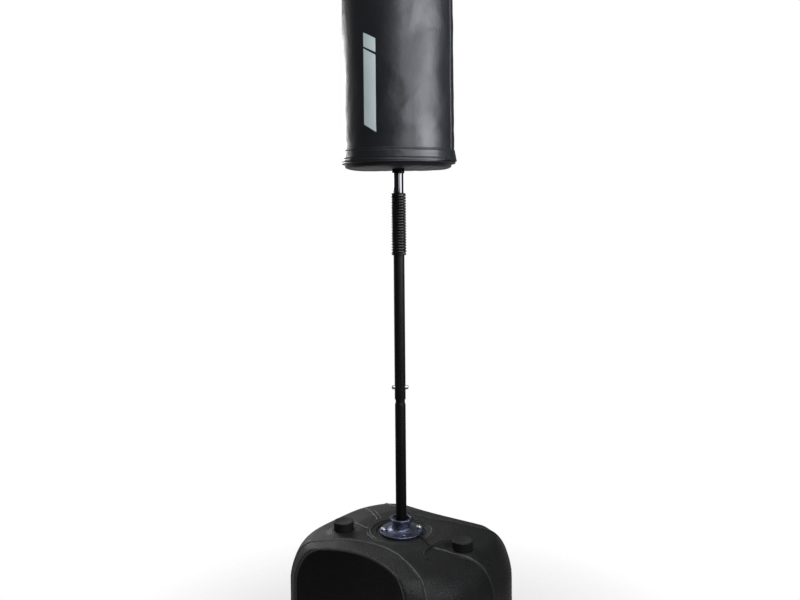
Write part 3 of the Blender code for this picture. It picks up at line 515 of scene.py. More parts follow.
def plain_plastic(name, colour, roughness, grain=900.0, lit_top=None):
    """Moulded plastic, optionally with a paler colour on faces that look up: a painted highlight from
    the light above.
    """
    finish = Finish(name, colour, roughness)
    if lit_top:
        normal = finish.node("NewGeometry").outputs["Normal"]
        up = finish.node("SeparateXYZ", {"Vector": normal}).outputs["Z"]
        # Painted highlight on faces that look up.
        finish.set(Base_Color=finish.mix(finish.remap(up, 0.40, 0.80), colour, lit_top))
    spots = finish.noise(120.0, 3.0)
    finish.set(Roughness=finish.remap(spots, 0.3, 0.7, roughness - 0.06, roughness + 0.08))
    finish.bump(finish.cells(grain), 0.0002, 0.4)
    return finish.material


def water():
    finish = Finish("water", (0.82, 0.90, 0.92), 0.03, Transmission_Weight=1.0, IOR=1.333)
    finish.bump(finish.noise(18.0, 2.0), 0.0008, 0.25)
    return finish.material


# The paler colours for faces that look up are painted highlights from the light above.
CAP_BLACK, CAP_LIT_TOP = (0.0028, 0.0028, 0.0030), (0.013, 0.013, 0.014)
STRAP_BLACK, STRAP_LIT_TOP = (0.0025, 0.0025, 0.0026), (0.170, 0.173, 0.180)
RIGHT_STRAP_BLACK, RIGHT_STRAP_LIT_TOP = (0.0035, 0.0035, 0.0036), (0.010, 0.010, 0.010)

materials = {
    "tank": moulded_plastic(),
    "leather": leather().material,
    "cover": cover_leather(),
    "cap": plain_plastic("cap_plastic", CAP_BLACK, 0.62, lit_top=CAP_LIT_TOP),
    "strap_left": plain_plastic("left_strap_plastic_lit_top", STRAP_BLACK, 0.50, lit_top=STRAP_LIT_TOP),
    "strap_right": plain_plastic("strap_plastic", RIGHT_STRAP_BLACK, 0.55, lit_top=RIGHT_STRAP_LIT_TOP),
    "rubber": plain_plastic("black_rubber", (0.012, 0.012, 0.012), 0.78),
    "plastic": plain_plastic("grey_plastic", (0.30, 0.30, 0.31), 0.48),
    "zinc": plated("blue_zinc_plate", (0.22, 0.24, 0.34), 0.40),
    "bolt": plated("bright_zinc", (0.82, 0.83, 0.84), 0.36),
    "brass": plated("brass", (0.62, 0.47, 0.22), 0.34),
    "steel": plated("spring_steel", (0.34, 0.34, 0.36), 0.32),
    "paint": paint("satin_black_paint", (0.0030, 0.0030, 0.0031), 0.46, specular=0.25),
    "spring": paint("spring_black_paint", (0.0050, 0.0050, 0.0052), 0.20, specular=0.55),
    "gloss": gloss_paint(),
    "thread": plain_plastic("black_thread", (0.016, 0.016, 0.018), 0.60, 2500.0),
    "water": water(),
}


# Shapes


def polar(radius, azimuth):
    return radius * math.cos(azimuth), radius * math.sin(azimuth)


def portion(value, low=0.0, high=1.0):
    """How far value is on the way from low to high, kept between 0 and 1."""
    return min(max((value - low) / (high - low), 0.0), 1.0)


def add_object(name, data):
    obj = bpy.data.objects.new(name, data)
    bpy.context.scene.collection.objects.link(obj)
    return obj


def piece(name, bm, material, angle=35.0):
    """Turn a bmesh into a piece with smooth round faces."""
    bmesh.ops.recalc_face_normals(bm, faces=bm.faces)
    mesh = bpy.data.meshes.new(name)
    bm.to_mesh(mesh)
    bm.free()
    mesh.shade_smooth()
    mesh.set_sharp_from_angle(angle=math.radians(angle))
    obj = add_object(name, mesh)
    if material is not None:
        mesh.materials.append(materials[material])
    return obj


def stand_in(obj, body, *nodes):
    """The piece rides on a body and takes the place of CAD nodes."""
    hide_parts(*nodes)
    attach(obj, body)


def join_rings(bm, rings, closed=True):
    """Faces between rings of equal length, whose vertices may repeat at a pole."""
    pairs = list(zip(rings, rings[1:]))
    if closed:
        pairs.append((rings[-1], rings[0]))
    for lower, upper in pairs:
        for i in range(len(lower)):
            j = (i + 1) % len(lower)
            corners = list(dict.fromkeys((lower[i], lower[j], upper[j], upper[i])))
            if len(corners) > 2:
                bm.faces.new(corners)


def join_capped(bm, rings):
    """Faces between rings, and one across each end."""
    join_rings(bm, rings, closed=False)
    bm.faces.new(rings[0][::-1])
    bm.faces.new(rings[-1])


def add_turned(bm, profile, segments, centre=(0.0, 0.0)):
    """A closed ring of (radius, z) points turned about the vertical through centre."""
    rings = []
    for radius, z in profile:
        if radius == 0.0:
            rings.append([bm.verts.new((*centre, z))] * segments)
            continue
        offsets = [polar(radius, TURN * i / segments) for i in range(segments)]
        rings.append([bm.verts.new((centre[0] + x, centre[1] + y, z)) for x, y in offsets])
    join_rings(bm, rings)


def arc(centre, radius, start, end, steps):
    """(radius, z) points on an arc, for a turned profile."""
    points = []
    for k in range(steps + 1):
        x, z = polar(radius, math.radians(start + (end - start) * k / steps))
        points.append((centre[0] + x, centre[1] + z))
    return points


def outer_top(radius, z, size, steps):
    """The rounded upper corner of a turned profile's outside; inner_top is its bore's."""
    return arc((radius - size, z - size), size, 0.0, 90.0, steps)


def inner_top(radius, z, size, steps):
    return arc((radius + size, z - size), size, 90.0, 180.0, steps)


def turned(name, profile, material, segments=ROUND, centre=(0.0, 0.0), angle=35.0):
    bm = bmesh.new()
    add_turned(bm, profile, segments, centre)
    return piece(name, bm, material, angle)


def smooth_route(knots, steps):
    """Points on a smooth curve through the knots (Catmull-Rom)."""
    knots = [np.array(k, dtype=float) for k in knots]
    ends = [2 * knots[0] - knots[1], *knots, 2 * knots[-1] - knots[-2]]
    route = []
    for p0, p1, p2, p3 in zip(ends, ends[1:], ends[2:], ends[3:]):
        for t in np.arange(steps) / steps:
            square = (2 * p0 - 5 * p1 + 4 * p2 - p3) * t**2
            cube = (3 * p1 - p0 - 3 * p2 + p3) * t**3
            route.append(0.5 * (2 * p1 + (p2 - p0) * t + square + cube))
    return [*route, knots[-1]]


def sweep(bm, points, section, up=UP):
    """Sweep a closed section of (side, up) offsets along points, with flat ends."""
    rings = []
    last = len(points) - 1
    for i, point in enumerate(points):
        tangent = (points[min(i + 1, last)] - points[max(i - 1, 0)]).normalized()
        side = tangent.cross(up).normalized()
        rise = side.cross(tangent).normalized()
        rings.append([bm.verts.new(point + side * s + rise * t) for s, t in section])
    join_capped(bm, rings)


def cut(obj, tool):
    """Take a tool away from an object with an exact Boolean."""
    modifier = obj.modifiers.new("cut", "BOOLEAN")
    modifier.operation = "DIFFERENCE"
    modifier.solver = "EXACT"
    modifier.object = tool
    bm = bmesh.new()
    bm.from_object(obj, bpy.context.evaluated_depsgraph_get())
    obj.modifiers.clear()
    bm.to_mesh(obj.data)
    bm.free()
    bpy.data.objects.remove(tool, do_unlink=True)


# Base tank


def to_uv(x, y):
    c, s = polar(1.0, BAY_AZIMUTH)
    return x * c + y * s, y * c - x * s


def from_uv(u, v):
    c, s = polar(1.0, BAY_AZIMUTH)
    return u * c - v * s, u * s + v * c


def dome_z(u, v):
    """Height of the dome, which is flat in the middle."""
    return min(TANK_TOP_Z, DOME_CROWN_Z - DOME_U * u * u - DOME_V * v * v)


def top_z(x, y):
    """Height of the tank's top, shoulder included, above a plan point."""
    u, v = to_uv(x, y)
    side_u = max(abs(u) - (TANK_HALF_U - TANK_CORNER_R), 0.0)
    side_v = max(abs(v) - (TANK_HALF_V - TANK_CORNER_R), 0.0)
    inset = TANK_CORNER_R - math.hypot(side_u, side_v)
    if inset >= SHOULDER_WIDTH:
        return dome_z(u, v)
    angle = math.acos(1.0 - max(inset, 0.0) / SHOULDER_WIDTH)
    return dome_z(u, v) - SHOULDER_DROP * (1.0 - math.sin(angle))


def bay_distance(x, y):
    """Plan distance outward from the nearer bay's wall."""
    u, v = to_uv(x, y)
    return math.hypot(abs(u) - BAY_CENTRE_R, v) - BAY_R


def margin_width(x, y):
    """Distance from a bay's wall to its fold line, which widens and narrows along the bay."""
    u, v = to_uv(x, y)
    along = math.copysign(v, u * v) if u * v else 0.0
    wide = math.exp(-((along - MARGIN_GAIN_V) / MARGIN_GAIN_SPREAD) ** 2)
    return BAY_MARGIN + MARGIN_GAIN * wide - MARGIN_LOSS * portion(-along, *MARGIN_LOSS_V)


def pad_z(side):
    return top_z(*CAP_CENTRES[side]) + PAD_LIFT


def outline_rows(corner_steps, side_steps):
    """Corner centres and outward directions round the tank, as (u, v, nu, nv)."""
    reach_u = TANK_HALF_U - TANK_CORNER_R
    reach_v = TANK_HALF_V - TANK_CORNER_R
    centres = ((reach_u, reach_v), (-reach_u, reach_v), (-reach_u, -reach_v), (reach_u, -reach_v))
    rows = []
    for quarter, (u, v) in enumerate(centres):
        for k in range(corner_steps + 1):
            rows.append((u, v, *polar(1.0, 0.25 * TURN * (quarter + k / corner_steps))))
        next_u, next_v = centres[(quarter + 1) % 4]
        outward = polar(1.0, 0.25 * TURN * (quarter + 1))
        for k in range(1, side_steps):
            t = k / side_steps
            rows.append((u + (next_u - u) * t, v + (next_v - v) * t, *outward))
    return rows


def plain_tank():
    """The tank's outside before its bays and small forms, with the flange's seat."""
    rows = outline_rows(34, 20)
    foot_steps, wall_steps, shoulder_steps, top_steps = 5, 26, 18, 18

    def outline(reach):
        return [(u + nu * reach, v + nv * reach) for u, v, nu, nv in rows]

    def shrunk(ring, radius_at):
        """The ring's points drawn in to another distance from the middle."""
        scales = [radius_at(math.hypot(u, v)) / math.hypot(u, v) for u, v, _ in ring]
        return [(u * scale, v * scale) for (u, v, _), scale in zip(ring, scales)]

    rings = []
    for k in range(foot_steps + 1):
        low, side = polar(TANK_FOOT_R, 0.25 * TURN * k / foot_steps)
        foot = outline(TANK_CORNER_R - TANK_FOOT_R + side)
        rings.append([(u, v, TANK_FOOT_R - low) for u, v in foot])
    rim = [(u, v, dome_z(u, v) - SHOULDER_DROP) for u, v in outline(TANK_CORNER_R)]
    for k in range(1, wall_steps):
        t = k / wall_steps
        rings.append([(u, v, TANK_FOOT_R + (z - TANK_FOOT_R) * t) for u, v, z in rim])
    for k in range(shoulder_steps + 1):
        across, rise = polar(1.0, 0.25 * TURN * k / shoulder_steps)
        shoulder = outline(TANK_CORNER_R - SHOULDER_WIDTH * (1.0 - across))
        rings.append([(u, v, dome_z(u, v) - SHOULDER_DROP * (1.0 - rise)) for u, v in shoulder])
    edge = rings[-1]
    for k in range(1, top_steps + 1):
        t = k / top_steps
        top = shrunk(edge, lambda reach: reach + (SEAT_RING_R + 0.0012 - reach) * t)
        rings.append([(u, v, dome_z(u, v)) for u, v in top])
    profile = inner_top(SEAT_RING_R, TANK_TOP_Z, 0.0006, 4)
    profile += [(SEAT_RING_R, SEAT_RING_Z + 0.0002), (SEAT_RING_R - 0.0003, SEAT_RING_Z)]
    profile += inner_top(SEAT_R, SEAT_RING_Z, 0.0009, 4)
    profile += [(SEAT_R, SEAT_FLOOR_Z + 0.0004), (SEAT_R - 0.0004, SEAT_FLOOR_Z), (0.030, SEAT_FLOOR_Z)]
    for radius, z in profile:
        rings.append([(u, v, z) for u, v in shrunk(edge, lambda reach: radius)])
    bm = bmesh.new()
    join_capped(bm, [[bm.verts.new((*from_uv(u, v), z)) for u, v, z in ring] for ring in rings])
    return bm


def hill(distance, width):
    """1 on a line and 0 beyond width, rounded like a moulded bead."""
    t = min(abs(distance) / width, 1.0)
    return 0.5 + 0.5 * math.cos(math.pi * t)


def route_arrays(knots, height):
    """Starts and steps of a bead's short straight runs, with its middle, reach in plan and height."""
    points = np.array(smooth_route(knots, 6))
    middle = points.mean(0)
    reach = float(np.linalg.norm(points - middle, axis=1).max())
    return points[:-1], points[1:] - points[:-1], middle.tolist(), reach, height


BEADS = [route_arrays(BEAD_FRONT, BEAD_HEIGHT), route_arrays(BEAD_BACK, 0.55 * BEAD_HEIGHT),
         route_arrays(BEAD_BACK_TWIN, 0.35 * BEAD_HEIGHT)]


def near_bead(x, y):
    """Plan distance to the nearest bead, large where all are far, and the beads' height there."""
    nearest, rise = 1.0, 0.0
    for starts, steps, middle, reach, height in BEADS:
        if math.dist((x, y), middle) > reach + BEAD_REACH:
            continue
        offset = np.array((x, y)) - starts
        t = np.clip((offset * steps).sum(1) / (steps * steps).sum(1), 0.0, 1.0)
        distance = float(np.linalg.norm(offset - steps * t[:, None], axis=1).min())
        nearest = min(nearest, distance)
        rise = max(rise, height * hill(distance, BEAD_WIDTH))
    return nearest, rise


def near_small_forms(point):
    x, y, z = point
    d = bay_distance(x, y)
    if -BAY_EDGE_REACH < d < BAY_EDGE + BAY_EDGE_REACH:
        return True
    if abs(d - margin_width(x, y)) < FOLD_WIDTH + LINE_REACH:
        return True
    if z > BEAD_FADE_Z[0] and near_bead(x, y)[0] < BEAD_WIDTH + LINE_REACH:
        return True
    if z < TOP_FORMS_Z:
        return False
    if LIP_RADII[0] - LIP_REACH < math.hypot(x, y) < LIP_RADII[1] + LIP_REACH:
        return True
    return any(math.dist((x, y), centre) < PAD_R + PAD_SLOPE for centre in CAP_CENTRES.values())


def refine(bm, wanted, times):
    for _ in range(times):
        faces = [f for f in bm.faces if len(f.verts) < 9 and wanted(f.calc_center_median())]
        edges = {edge for face in faces for edge in face.edges}
        bmesh.ops.subdivide_edges(bm, edges=list(edges), cuts=1, use_grid_fill=True)


def ridges(x, y, z):
    """Height of the folds, lips and beads that stand out of the tank's surface at a point."""
    fold = FOLD_HEIGHT * hill(bay_distance(x, y) - margin_width(x, y), FOLD_WIDTH)
    radius = math.hypot(x, y)
    if z < BEAD_FADE_Z[0] or radius < SEAT_RING_R + 0.0004:
        return fold
    turn = math.cos(math.atan2(y, x) - LIP_WORN_AZIMUTH)
    lips = sum(hill(radius - lip, LIP_WIDTH) for lip in LIP_RADII) * max(turn, LIP_FAINT)
    shown = portion(z, *BEAD_FADE_Z) * portion(radius, LIP_RADII[0], LIP_RADII[0] + 0.006)
    return fold + LIP_HEIGHT * lips + shown * near_bead(x, y)[1]


def shape_tank(bm):
    """Move the tank's outside to its margins, folds, edges, beads and waves."""
    bm.normal_update()
    moves = []
    for vert in bm.verts:
        x, y, z = vert.co
        d = bay_distance(x, y)
        sloped = max(margin_width(x, y) - max(d, -BAY_EDGE_REACH), 0.0)
        push = BAY_MARGIN_SLOPE * sloped - ridges(x, y, z)
        if d < BAY_EDGE:
            inner = min(BAY_EDGE - d, BAY_EDGE)
            push += BAY_EDGE - math.sqrt(max(BAY_EDGE**2 - inner**2, 0.0))
        if math.hypot(x, y) > LIP_RADII[1] + LIP_REACH and z > TANK_FOOT_R:
            push += TANK_WAVE * noise.noise(vert.co / TANK_WAVE_LENGTH)
        outward = vert.normal.copy()
        if z < 3.0 * TANK_FOOT_R:
            outward.z = 0.0
            outward.normalize()
        moves.append(vert.co - outward * push)
    for vert, place in zip(bm.verts, moves):
        vert.co = place


def mark_wear_highlight_and_shade(mesh):
    """Keep on each vertex how pale its ridge is painted, partly wear and partly painted highlight, and
    how much painted shade it takes deep in a bay.
    """
    wear_and_highlight = mesh.attributes.new("wear_and_highlight", "FLOAT", "POINT")
    painted_bay_shade = mesh.attributes.new("painted_bay_shade", "FLOAT", "POINT")
    for index, vert in enumerate(mesh.vertices):
        x, y, z = vert.co
        d = bay_distance(x, y)
        # Pale ridges and bay edges, high up and mostly on the front half: partly wear, partly a painted
        # highlight.
        edge = EDGE_WEAR_AND_HIGHLIGHT * hill(d - EDGE_WEAR_AND_HIGHLIGHT_MIDDLE, EDGE_WEAR_AND_HIGHLIGHT_WIDTH) if d > EDGE_WEAR_AND_HIGHLIGHT_START else 0.0
        raised = max(ridges(x, y, z) / FOLD_HEIGHT, edge)
        worn_and_lit = WEAR_AND_HIGHLIGHT_REAR + (1.0 - WEAR_AND_HIGHLIGHT_REAR) * portion(to_uv(x, y)[0], -0.05, 0.05)
        wear_and_highlight.data[index].value = min(raised, 1.0) * worn_and_lit * portion(z, *WEAR_AND_HIGHLIGHT_Z)
        # Painted shade on the walls of the bays.
        painted_bay_shade.data[index].value = portion(-d, -0.0012, -0.0004)


def press_pads(mesh):
    """Raise the top softly to each filler neck's pad, and open it under the neck's bore."""
    for side, centre in CAP_CENTRES.items():
        floor = pad_z(side)
        for vert in mesh.vertices:
            radius = math.dist(vert.co.xy, centre)
            if vert.co.z < TOP_FORMS_Z or radius > PAD_R + PAD_SLOPE:
                continue
            t = portion(radius, PAD_R, PAD_R + PAD_SLOPE)
            vert.co.z = floor + (vert.co.z - floor) * t * t * (3.0 - 2.0 * t)
            if radius < PAD_R - 0.0002:
                vert.co.z = floor - PAD_COVERED
            if radius < NECK_BORE_R + 0.0008:
                vert.co.z = floor - NECK_DEPTH


def build_tank():
    bm = plain_tank()
    refine(bm, near_small_forms, 3)
    shape_tank(bm)
    shell = piece("tank_shell", bm, None)
    low, high = BAY_CUTTER_Z
    wall = [(BAY_R, low + (high - low) * k / BAY_CUTTER_ROWS) for k in range(BAY_CUTTER_ROWS + 1)]
    for sign in (1.0, -1.0):
        tool = bmesh.new()
        centre = from_uv(sign * BAY_CENTRE_R, 0.0)
        add_turned(tool, [(0.0, low), *wall, (0.0, high)], BAY_SEGMENTS, centre)
        cut(shell, piece("tool", tool, None))
    press_pads(shell.data)
    mark_wear_highlight_and_shade(shell.data)
    shell.data.materials.clear()
    shell.data.materials.append(materials["tank"])
    shell.data.shade_smooth()
    shell.data.set_sharp_from_angle(angle=math.radians(40.0))
    stand_in(shell, "stand", "base_tank")


def build_necks():
    for side, centre in CAP_CENTRES.items():
        z = pad_z(side)
        top = z + NECK_HEIGHT
        profile = [(NECK_BORE_R, z - NECK_DEPTH + 0.002), (PAD_R, z - 0.012), (PAD_R, z - 0.0008)]
        profile += outer_top(PAD_R, z, 0.0008, 4)
        profile += arc((NECK_R + 0.0006, z + 0.0006), 0.0006, 270.0, 180.0, 3)
        profile += outer_top(NECK_R, top, 0.0006, 3)
        profile += inner_top(NECK_BORE_R, top, 0.0006, 3)
        neck = turned(f"filler_neck_{side}", profile, "tank", ROUND, centre)
        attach(neck, "stand")


def build_caps():
    """Screw caps with a finely ribbed side."""
    for side, centre in CAP_CENTRES.items():
        z = pad_z(side)
        bottom = z + 2.0 * GAP
        top = bottom + CAP_HEIGHT
        ceiling = z + NECK_HEIGHT + 2.0 * GAP + 0.0014
        inner = NECK_R + GAP
        profile = [(inner, bottom), (CAP_R - 0.0012, bottom)]
        profile += arc((CAP_R - 0.0008, bottom + 0.0008), 0.0008, 270.0, 360.0, 3)
        profile += [(CAP_R, bottom + 0.004), (CAP_R, bottom + 0.010), (CAP_R, top - 0.004)]
        profile += outer_top(CAP_R, top, 0.0018, 6)
        profile += [(CAP_R - 0.0050, top), (CAP_R - 0.0060, top - 0.0004), (0.0, top - 0.0004)]
        profile += [(0.0, ceiling), (inner, ceiling)]
        bm = bmesh.new()
        add_turned(bm, profile, 4 * CAP_RIBS, centre)
        for vert in bm.verts:
            offset = vert.co.xy - Vector(centre)
            if offset.length > CAP_R - 0.0004 and bottom + 0.002 < vert.co.z < top - 0.002:
                ribs = 0.5 - 0.5 * math.cos(CAP_RIBS * math.atan2(offset.y, offset.x))
                vert.co.xy = Vector(centre) + offset * (1.0 - CAP_RIB_DEPTH * ribs / CAP_R)
        cap = piece(f"screw_cap_{side}", bm, "cap", 50.0)
        stand_in(cap, f"cap_{side}", f"filler_cap_{side}")


def build_straps():
    half, thick = 0.5 * STRAP_WIDTH, STRAP_THICKNESS
    right = [(0.8 * half, 0.0), (half, 0.3 * thick), (half, 0.6 * thick), (0.75 * half, 0.9 * thick),
             (0.35 * half, thick)]
    section = right + [(-across, up) for across, up in right[::-1]]

    def add_strap(name, places, material):
        bm = bmesh.new()
        sweep(bm, [Vector(p) for p in smooth_route(places, 10)], section)
        return piece(name, bm, material, 50.0)

    def laid_out(route):
        return [Vector((x, y, top_z(x, y) + lift)) for x, y, lift in route]

    for side, centre in CAP_CENTRES.items():
        laid = laid_out(STRAP_ROUTES[side])
        inward = Vector((laid[0].x - centre[0], laid[0].y - centre[1], 0.0)).normalized()
        height = pad_z(side) + CAP_HEIGHT - STRAP_DROP
        start = Vector((*centre, height)) + inward * (CAP_R + STRAP_CLEARANCE)
        strap = add_strap(f"cap_strap_{side}", [start, *laid], f"strap_{side}")
        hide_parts(f"cap_tether_{side}")
        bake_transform(strap)
    tail = add_strap("cap_strap_tail", laid_out(STRAP_TAIL), "strap_right")
    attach(tail, "stand")


# Flange and post


def build_flange():
    top = FLANGE_TOP_Z
    rim_bottom = RIM_TOP_Z - RIM_HEIGHT
    profile = [(HUB_BORE_R, FLANGE_BOTTOM_Z), (FLANGE_R - 0.0008, FLANGE_BOTTOM_Z)]
    profile += [(FLANGE_R, FLANGE_BOTTOM_Z + 0.0008)]
    profile += outer_top(FLANGE_R, top, 0.0014, 6)
    profile += [(FLARE_R + 0.0010, top)]
    flare = [(FLARE_R, top + 0.0001), (0.5 * (FLARE_R + HUB_R), top + 0.0020),
             (HUB_R + 0.0012, top + 0.0046), (HUB_R, top + FLARE_HEIGHT)]
    profile += [tuple(point) for point in smooth_route(flare, 5)]
    profile += [(HUB_R, rim_bottom - 0.0016)]
    profile += arc((RIM_R - 0.0022, rim_bottom + 0.0018), 0.0022, 300.0, 360.0, 5)
    profile += outer_top(RIM_R, RIM_TOP_Z, 0.0020, 6)
    profile += inner_top(RIM_BORE_R, RIM_TOP_Z, 0.0014, 5)
    profile += [(RIM_BORE_R, rim_bottom), (HUB_BORE_R, rim_bottom - 0.003)]
    bm = bmesh.new()
    add_turned(bm, profile, 2 * ROUND)
    half_side = math.pi / RIM_SIDES
    for vert in bm.verts:
        if vert.co.z < rim_bottom - 0.001 or vert.co.xy.length < RIM_BORE_R + 0.002:
            continue
        turn = math.atan2(vert.co.y, vert.co.x) % (2.0 * half_side) - half_side
        flat = math.cos(half_side) / math.cos(turn)
        vert.co.xy *= 1.0 - RIM_FLATNESS * (1.0 - flat)
    flange = piece("flange_body", bm, "zinc", 50.0)
    stand_in(flange, "stand", "pole_flange")


def build_bolts():
    """Domed heads with a small round hollow; two are bright and two as blue as the flange, a painted
    shade for the pair that catches no highlight.
    """
    for number in range(1, 5):
        centre = polar(BOLT_CENTRE_R, BOLT_AZIMUTH + 0.25 * TURN * (number - 1))
        # Painted shade: bolts 2 and 4 take the flange's darker plating where the others are bright.
        plating_lit_or_shaded, hollow = ("bolt", HOLLOW_R) if number % 2 else ("zinc", 0.25 * HOLLOW_R)
        (_, _, low), (_, _, high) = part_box(f"flange_bolt_{number}")
        head = high - BOLT_HEAD_HEIGHT
        profile = [(0.0, low), (BOLT_R, low + 0.0006), (BOLT_R, head), (BOLT_HEAD_R - 0.0005, head)]
        for k in range(9):
            radius, rise = polar(1.0, 0.24 * TURN * k / 9.0)
            profile.append((hollow + (BOLT_HEAD_R - hollow) * radius,
                            head + 0.0010 + (BOLT_HEAD_HEIGHT - 0.0010) * rise))
        profile += [(hollow, high), (hollow - 0.0002, high - HOLLOW_DEPTH)]
        profile += [(0.0, high - HOLLOW_DEPTH - 0.0006)]
        bolt = turned(f"bolt_{number}", profile, plating_lit_or_shaded, MEDIUM, centre)
        stand_in(bolt, "stand", f"flange_bolt_{number}")
        (left, _, low), (right, _, high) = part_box(f"flange_washer_{number}")
        outer = 0.5 * (right - left)
        profile = [(WASHER_BORE_R, low), (outer - 0.0003, low), (outer, 0.5 * (low + high)),
                   (outer - 0.0003, high), (WASHER_BORE_R, high)]
        washer = turned(f"washer_{number}", profile, "zinc", MEDIUM, centre)
        stand_in(washer, "stand", f"flange_washer_{number}")


def build_tube(name, node, radii, material, edge=0.0005):
    """A plain tube in a CAD node's place, as high as the node."""
    inner, outer = radii
    (_, _, low), (_, _, high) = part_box(node)
    profile = [(inner, low), (outer - edge, low), (outer, low + edge), (outer, high - edge),
               (outer - edge, high), (inner, high)]
    return turned(name, profile, material, POST_SEGMENTS)


def lay_sideways(bm, sign):
    """Turn an upright shape to point along +X or -X at the buttons' height."""
    turn = Matrix.Rotation(sign * math.pi / 2.0, 3, "Y")
    bmesh.ops.rotate(bm, verts=bm.verts, matrix=turn)
    bmesh.ops.translate(bm, verts=bm.verts, vec=(0.0, 0.0, BUTTON_Z))


def build_spring():
    """The helix in two halves, which meet at the spring's middle; its ends are ground flat."""
    floor, ceiling = SPRING_BOTTOM_Z + 2.0 * GAP, SPRING_TOP_Z - 2.0 * GAP
    low, high = floor + SPRING_END - SPRING_WIRE_R, ceiling - SPRING_END + SPRING_WIRE_R
    middle = 0.5 * (SPRING_BOTTOM_Z + SPRING_TOP_Z)
    steps = round(SPRING_TURNS * SPRING_STEPS)
    coil = []
    for k in range(steps + 1):
        place = polar(SPRING_OUTER_R - SPRING_WIRE_R, TURN * k / SPRING_STEPS)
        coil.append(Vector((*place, low + (high - low) * k / steps)))
    section = [polar(SPRING_WIRE_R, TURN * i / SPRING_SIDES) for i in range(SPRING_SIDES)]
    half = steps // 2
    halves = (("lower", coil[:half + 1], ("stand", "spring"), SPRING_BOTTOM_Z, middle),
              ("upper", coil[half:], ("spring", "rod"), middle, SPRING_TOP_Z))
    for name, points, bodies, start, end in halves:
        bm = bmesh.new()
        sweep(bm, points, section)
        for vert in bm.verts:
            vert.co.z = min(max(vert.co.z, floor), ceiling)
        spring = piece(f"bend_coils_{name}", bm, "spring", 60.0)
        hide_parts("bend_spring")
        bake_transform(spring)


def build_post():
    """Finer turned shapes for the round parts of the post."""
    (_, _, low), (_, _, high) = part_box("lower_tube")
    tube_inner, tube_outer = LOWER_TUBE
    inner, outer = SPIGOT
    base = SPIGOT_BASE_Z
    profile = [(tube_inner, low), (tube_outer, low), (tube_outer, base - 0.0010),
               (tube_outer - 0.0002, base), (outer + 0.0002, base + 0.0035), (outer, base + 0.0050),
               (outer, high - 0.001), (outer - 0.0006, high), (inner, high), (inner, base + 0.004),
               (tube_inner, base)]
    lower = turned("post_lower", profile, "paint", POST_SEGMENTS)
    upper = build_tube("post_upper", "upper_tube", UPPER_TUBE, "paint")
    for tube, node in ((lower, "lower_tube"), (upper, "upper_tube")):
        for sign in (1.0, -1.0):
            tool = bmesh.new()
            add_turned(tool, BUTTON_HOLE, MEDIUM)
            lay_sideways(tool, sign)
            cut(tube, piece("tool", tool, None))
        tube.data.shade_smooth()
        tube.data.set_sharp_from_angle(angle=math.radians(35.0))
        stand_in(tube, "stand", node)
    rod = build_tube("bag_rod", "upper_rod", ROD, "gloss")
    stand_in(rod, "rod", "upper_rod")
    collar = build_tube("rod_collar", "stop_collar", COLLAR, "paint", COLLAR_EDGE)
    stand_in(collar, "rod", "stop_collar")
    shoulder = BUTTON_REACH - BUTTON_DOME
    profile = [(0.0, BUTTON_INNER_X), (BUTTON_R, BUTTON_INNER_X), (BUTTON_R, shoulder)]
    profile += [(BUTTON_R * math.cos(a), shoulder + BUTTON_DOME * math.sin(a))
                for a in (0.25, 0.5, 0.75, 1.0, 1.25)]
    profile += [(0.0, BUTTON_REACH)]
    for sign, side in ((-1.0, "left"), (1.0, "right")):
        bm = bmesh.new()
        add_turned(bm, profile, MEDIUM)
        lay_sideways(bm, sign)
        button = piece(f"push_button_{side}", bm, "bolt", 50.0)
        stand_in(button, f"button_{side}", f"snap_button_{side}")


def build_clip():
    """The leaf spring behind the buttons, in two halves."""
    arm = BUTTON_INNER_X - GAP - CLIP_THICKNESS
    bend_z = CLIP_BOTTOM_Z + arm
    half = 0.5 * CLIP_WIDTH
    for sign, side in ((-1.0, "left"), (1.0, "right")):
        inward = -sign * CLIP_THICKNESS
        section = [(0.0, -half), (0.0, half), (inward, half), (inward, -half)]
        heights = [CLIP_TOP_Z + (bend_z - CLIP_TOP_Z) * k / 24 for k in range(24)]
        points = [Vector((sign * arm, 0.0, z)) for z in heights]
        for k in range(11):
            x, z = polar(arm, -0.5 * math.pi * k / 10)
            points.append(Vector((sign * x, 0.0, bend_z + z)))
        bm = bmesh.new()
        sweep(bm, points, section, Vector((0.0, 1.0, 0.0)))
        clip = piece(f"button_spring_{side}", bm, "steel", 50.0)
        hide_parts("snap_clip")
        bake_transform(clip)


# Bag


def settle(points, faces, sewn, pressure, growth, support=0.0):
    """Fill out slack fabric, sewn down at some points, by cloth simulation; returns where it rests."""
    scene = bpy.context.scene
    mesh = bpy.data.meshes.new("fabric")
    mesh.from_pydata(points, [], faces)
    fabric = add_object("fabric", mesh)
    group = fabric.vertex_groups.new(name="sewn")
    if support:
        group.add(list(range(len(points))), support, "REPLACE")
    group.add(sewn, 1.0, "REPLACE")
    cloth = fabric.modifiers.new("cloth", "CLOTH")
    cloth.collision_settings.use_collision = False
    for key, value in CLOTH.items():
        setattr(cloth.settings, key, value)
    cloth.settings.uniform_pressure_force = pressure
    cloth.settings.shrink_min = -growth
    cloth.settings.effector_weights.gravity = 0.0
    for frame_number in range(1, SETTLE_FRAMES + 1):
        scene.frame_set(frame_number)
    settled = fabric.evaluated_get(bpy.context.evaluated_depsgraph_get())
    places = np.empty(3 * len(mesh.vertices))
    settled.data.vertices.foreach_get("co", places)
    scene.frame_set(1)
    bpy.data.objects.remove(fabric, do_unlink=True)
    return places.reshape(-1, 3)


def grid_faces(rows, columns):
    """Faces of a sheet that closes on itself across its columns."""
    faces = []
    for low in range(0, rows * columns, columns):
        for i in range(columns):
            j = (i + 1) % columns
            faces.append((low + i, low + j, low + columns + j, low + columns + i))
    return faces


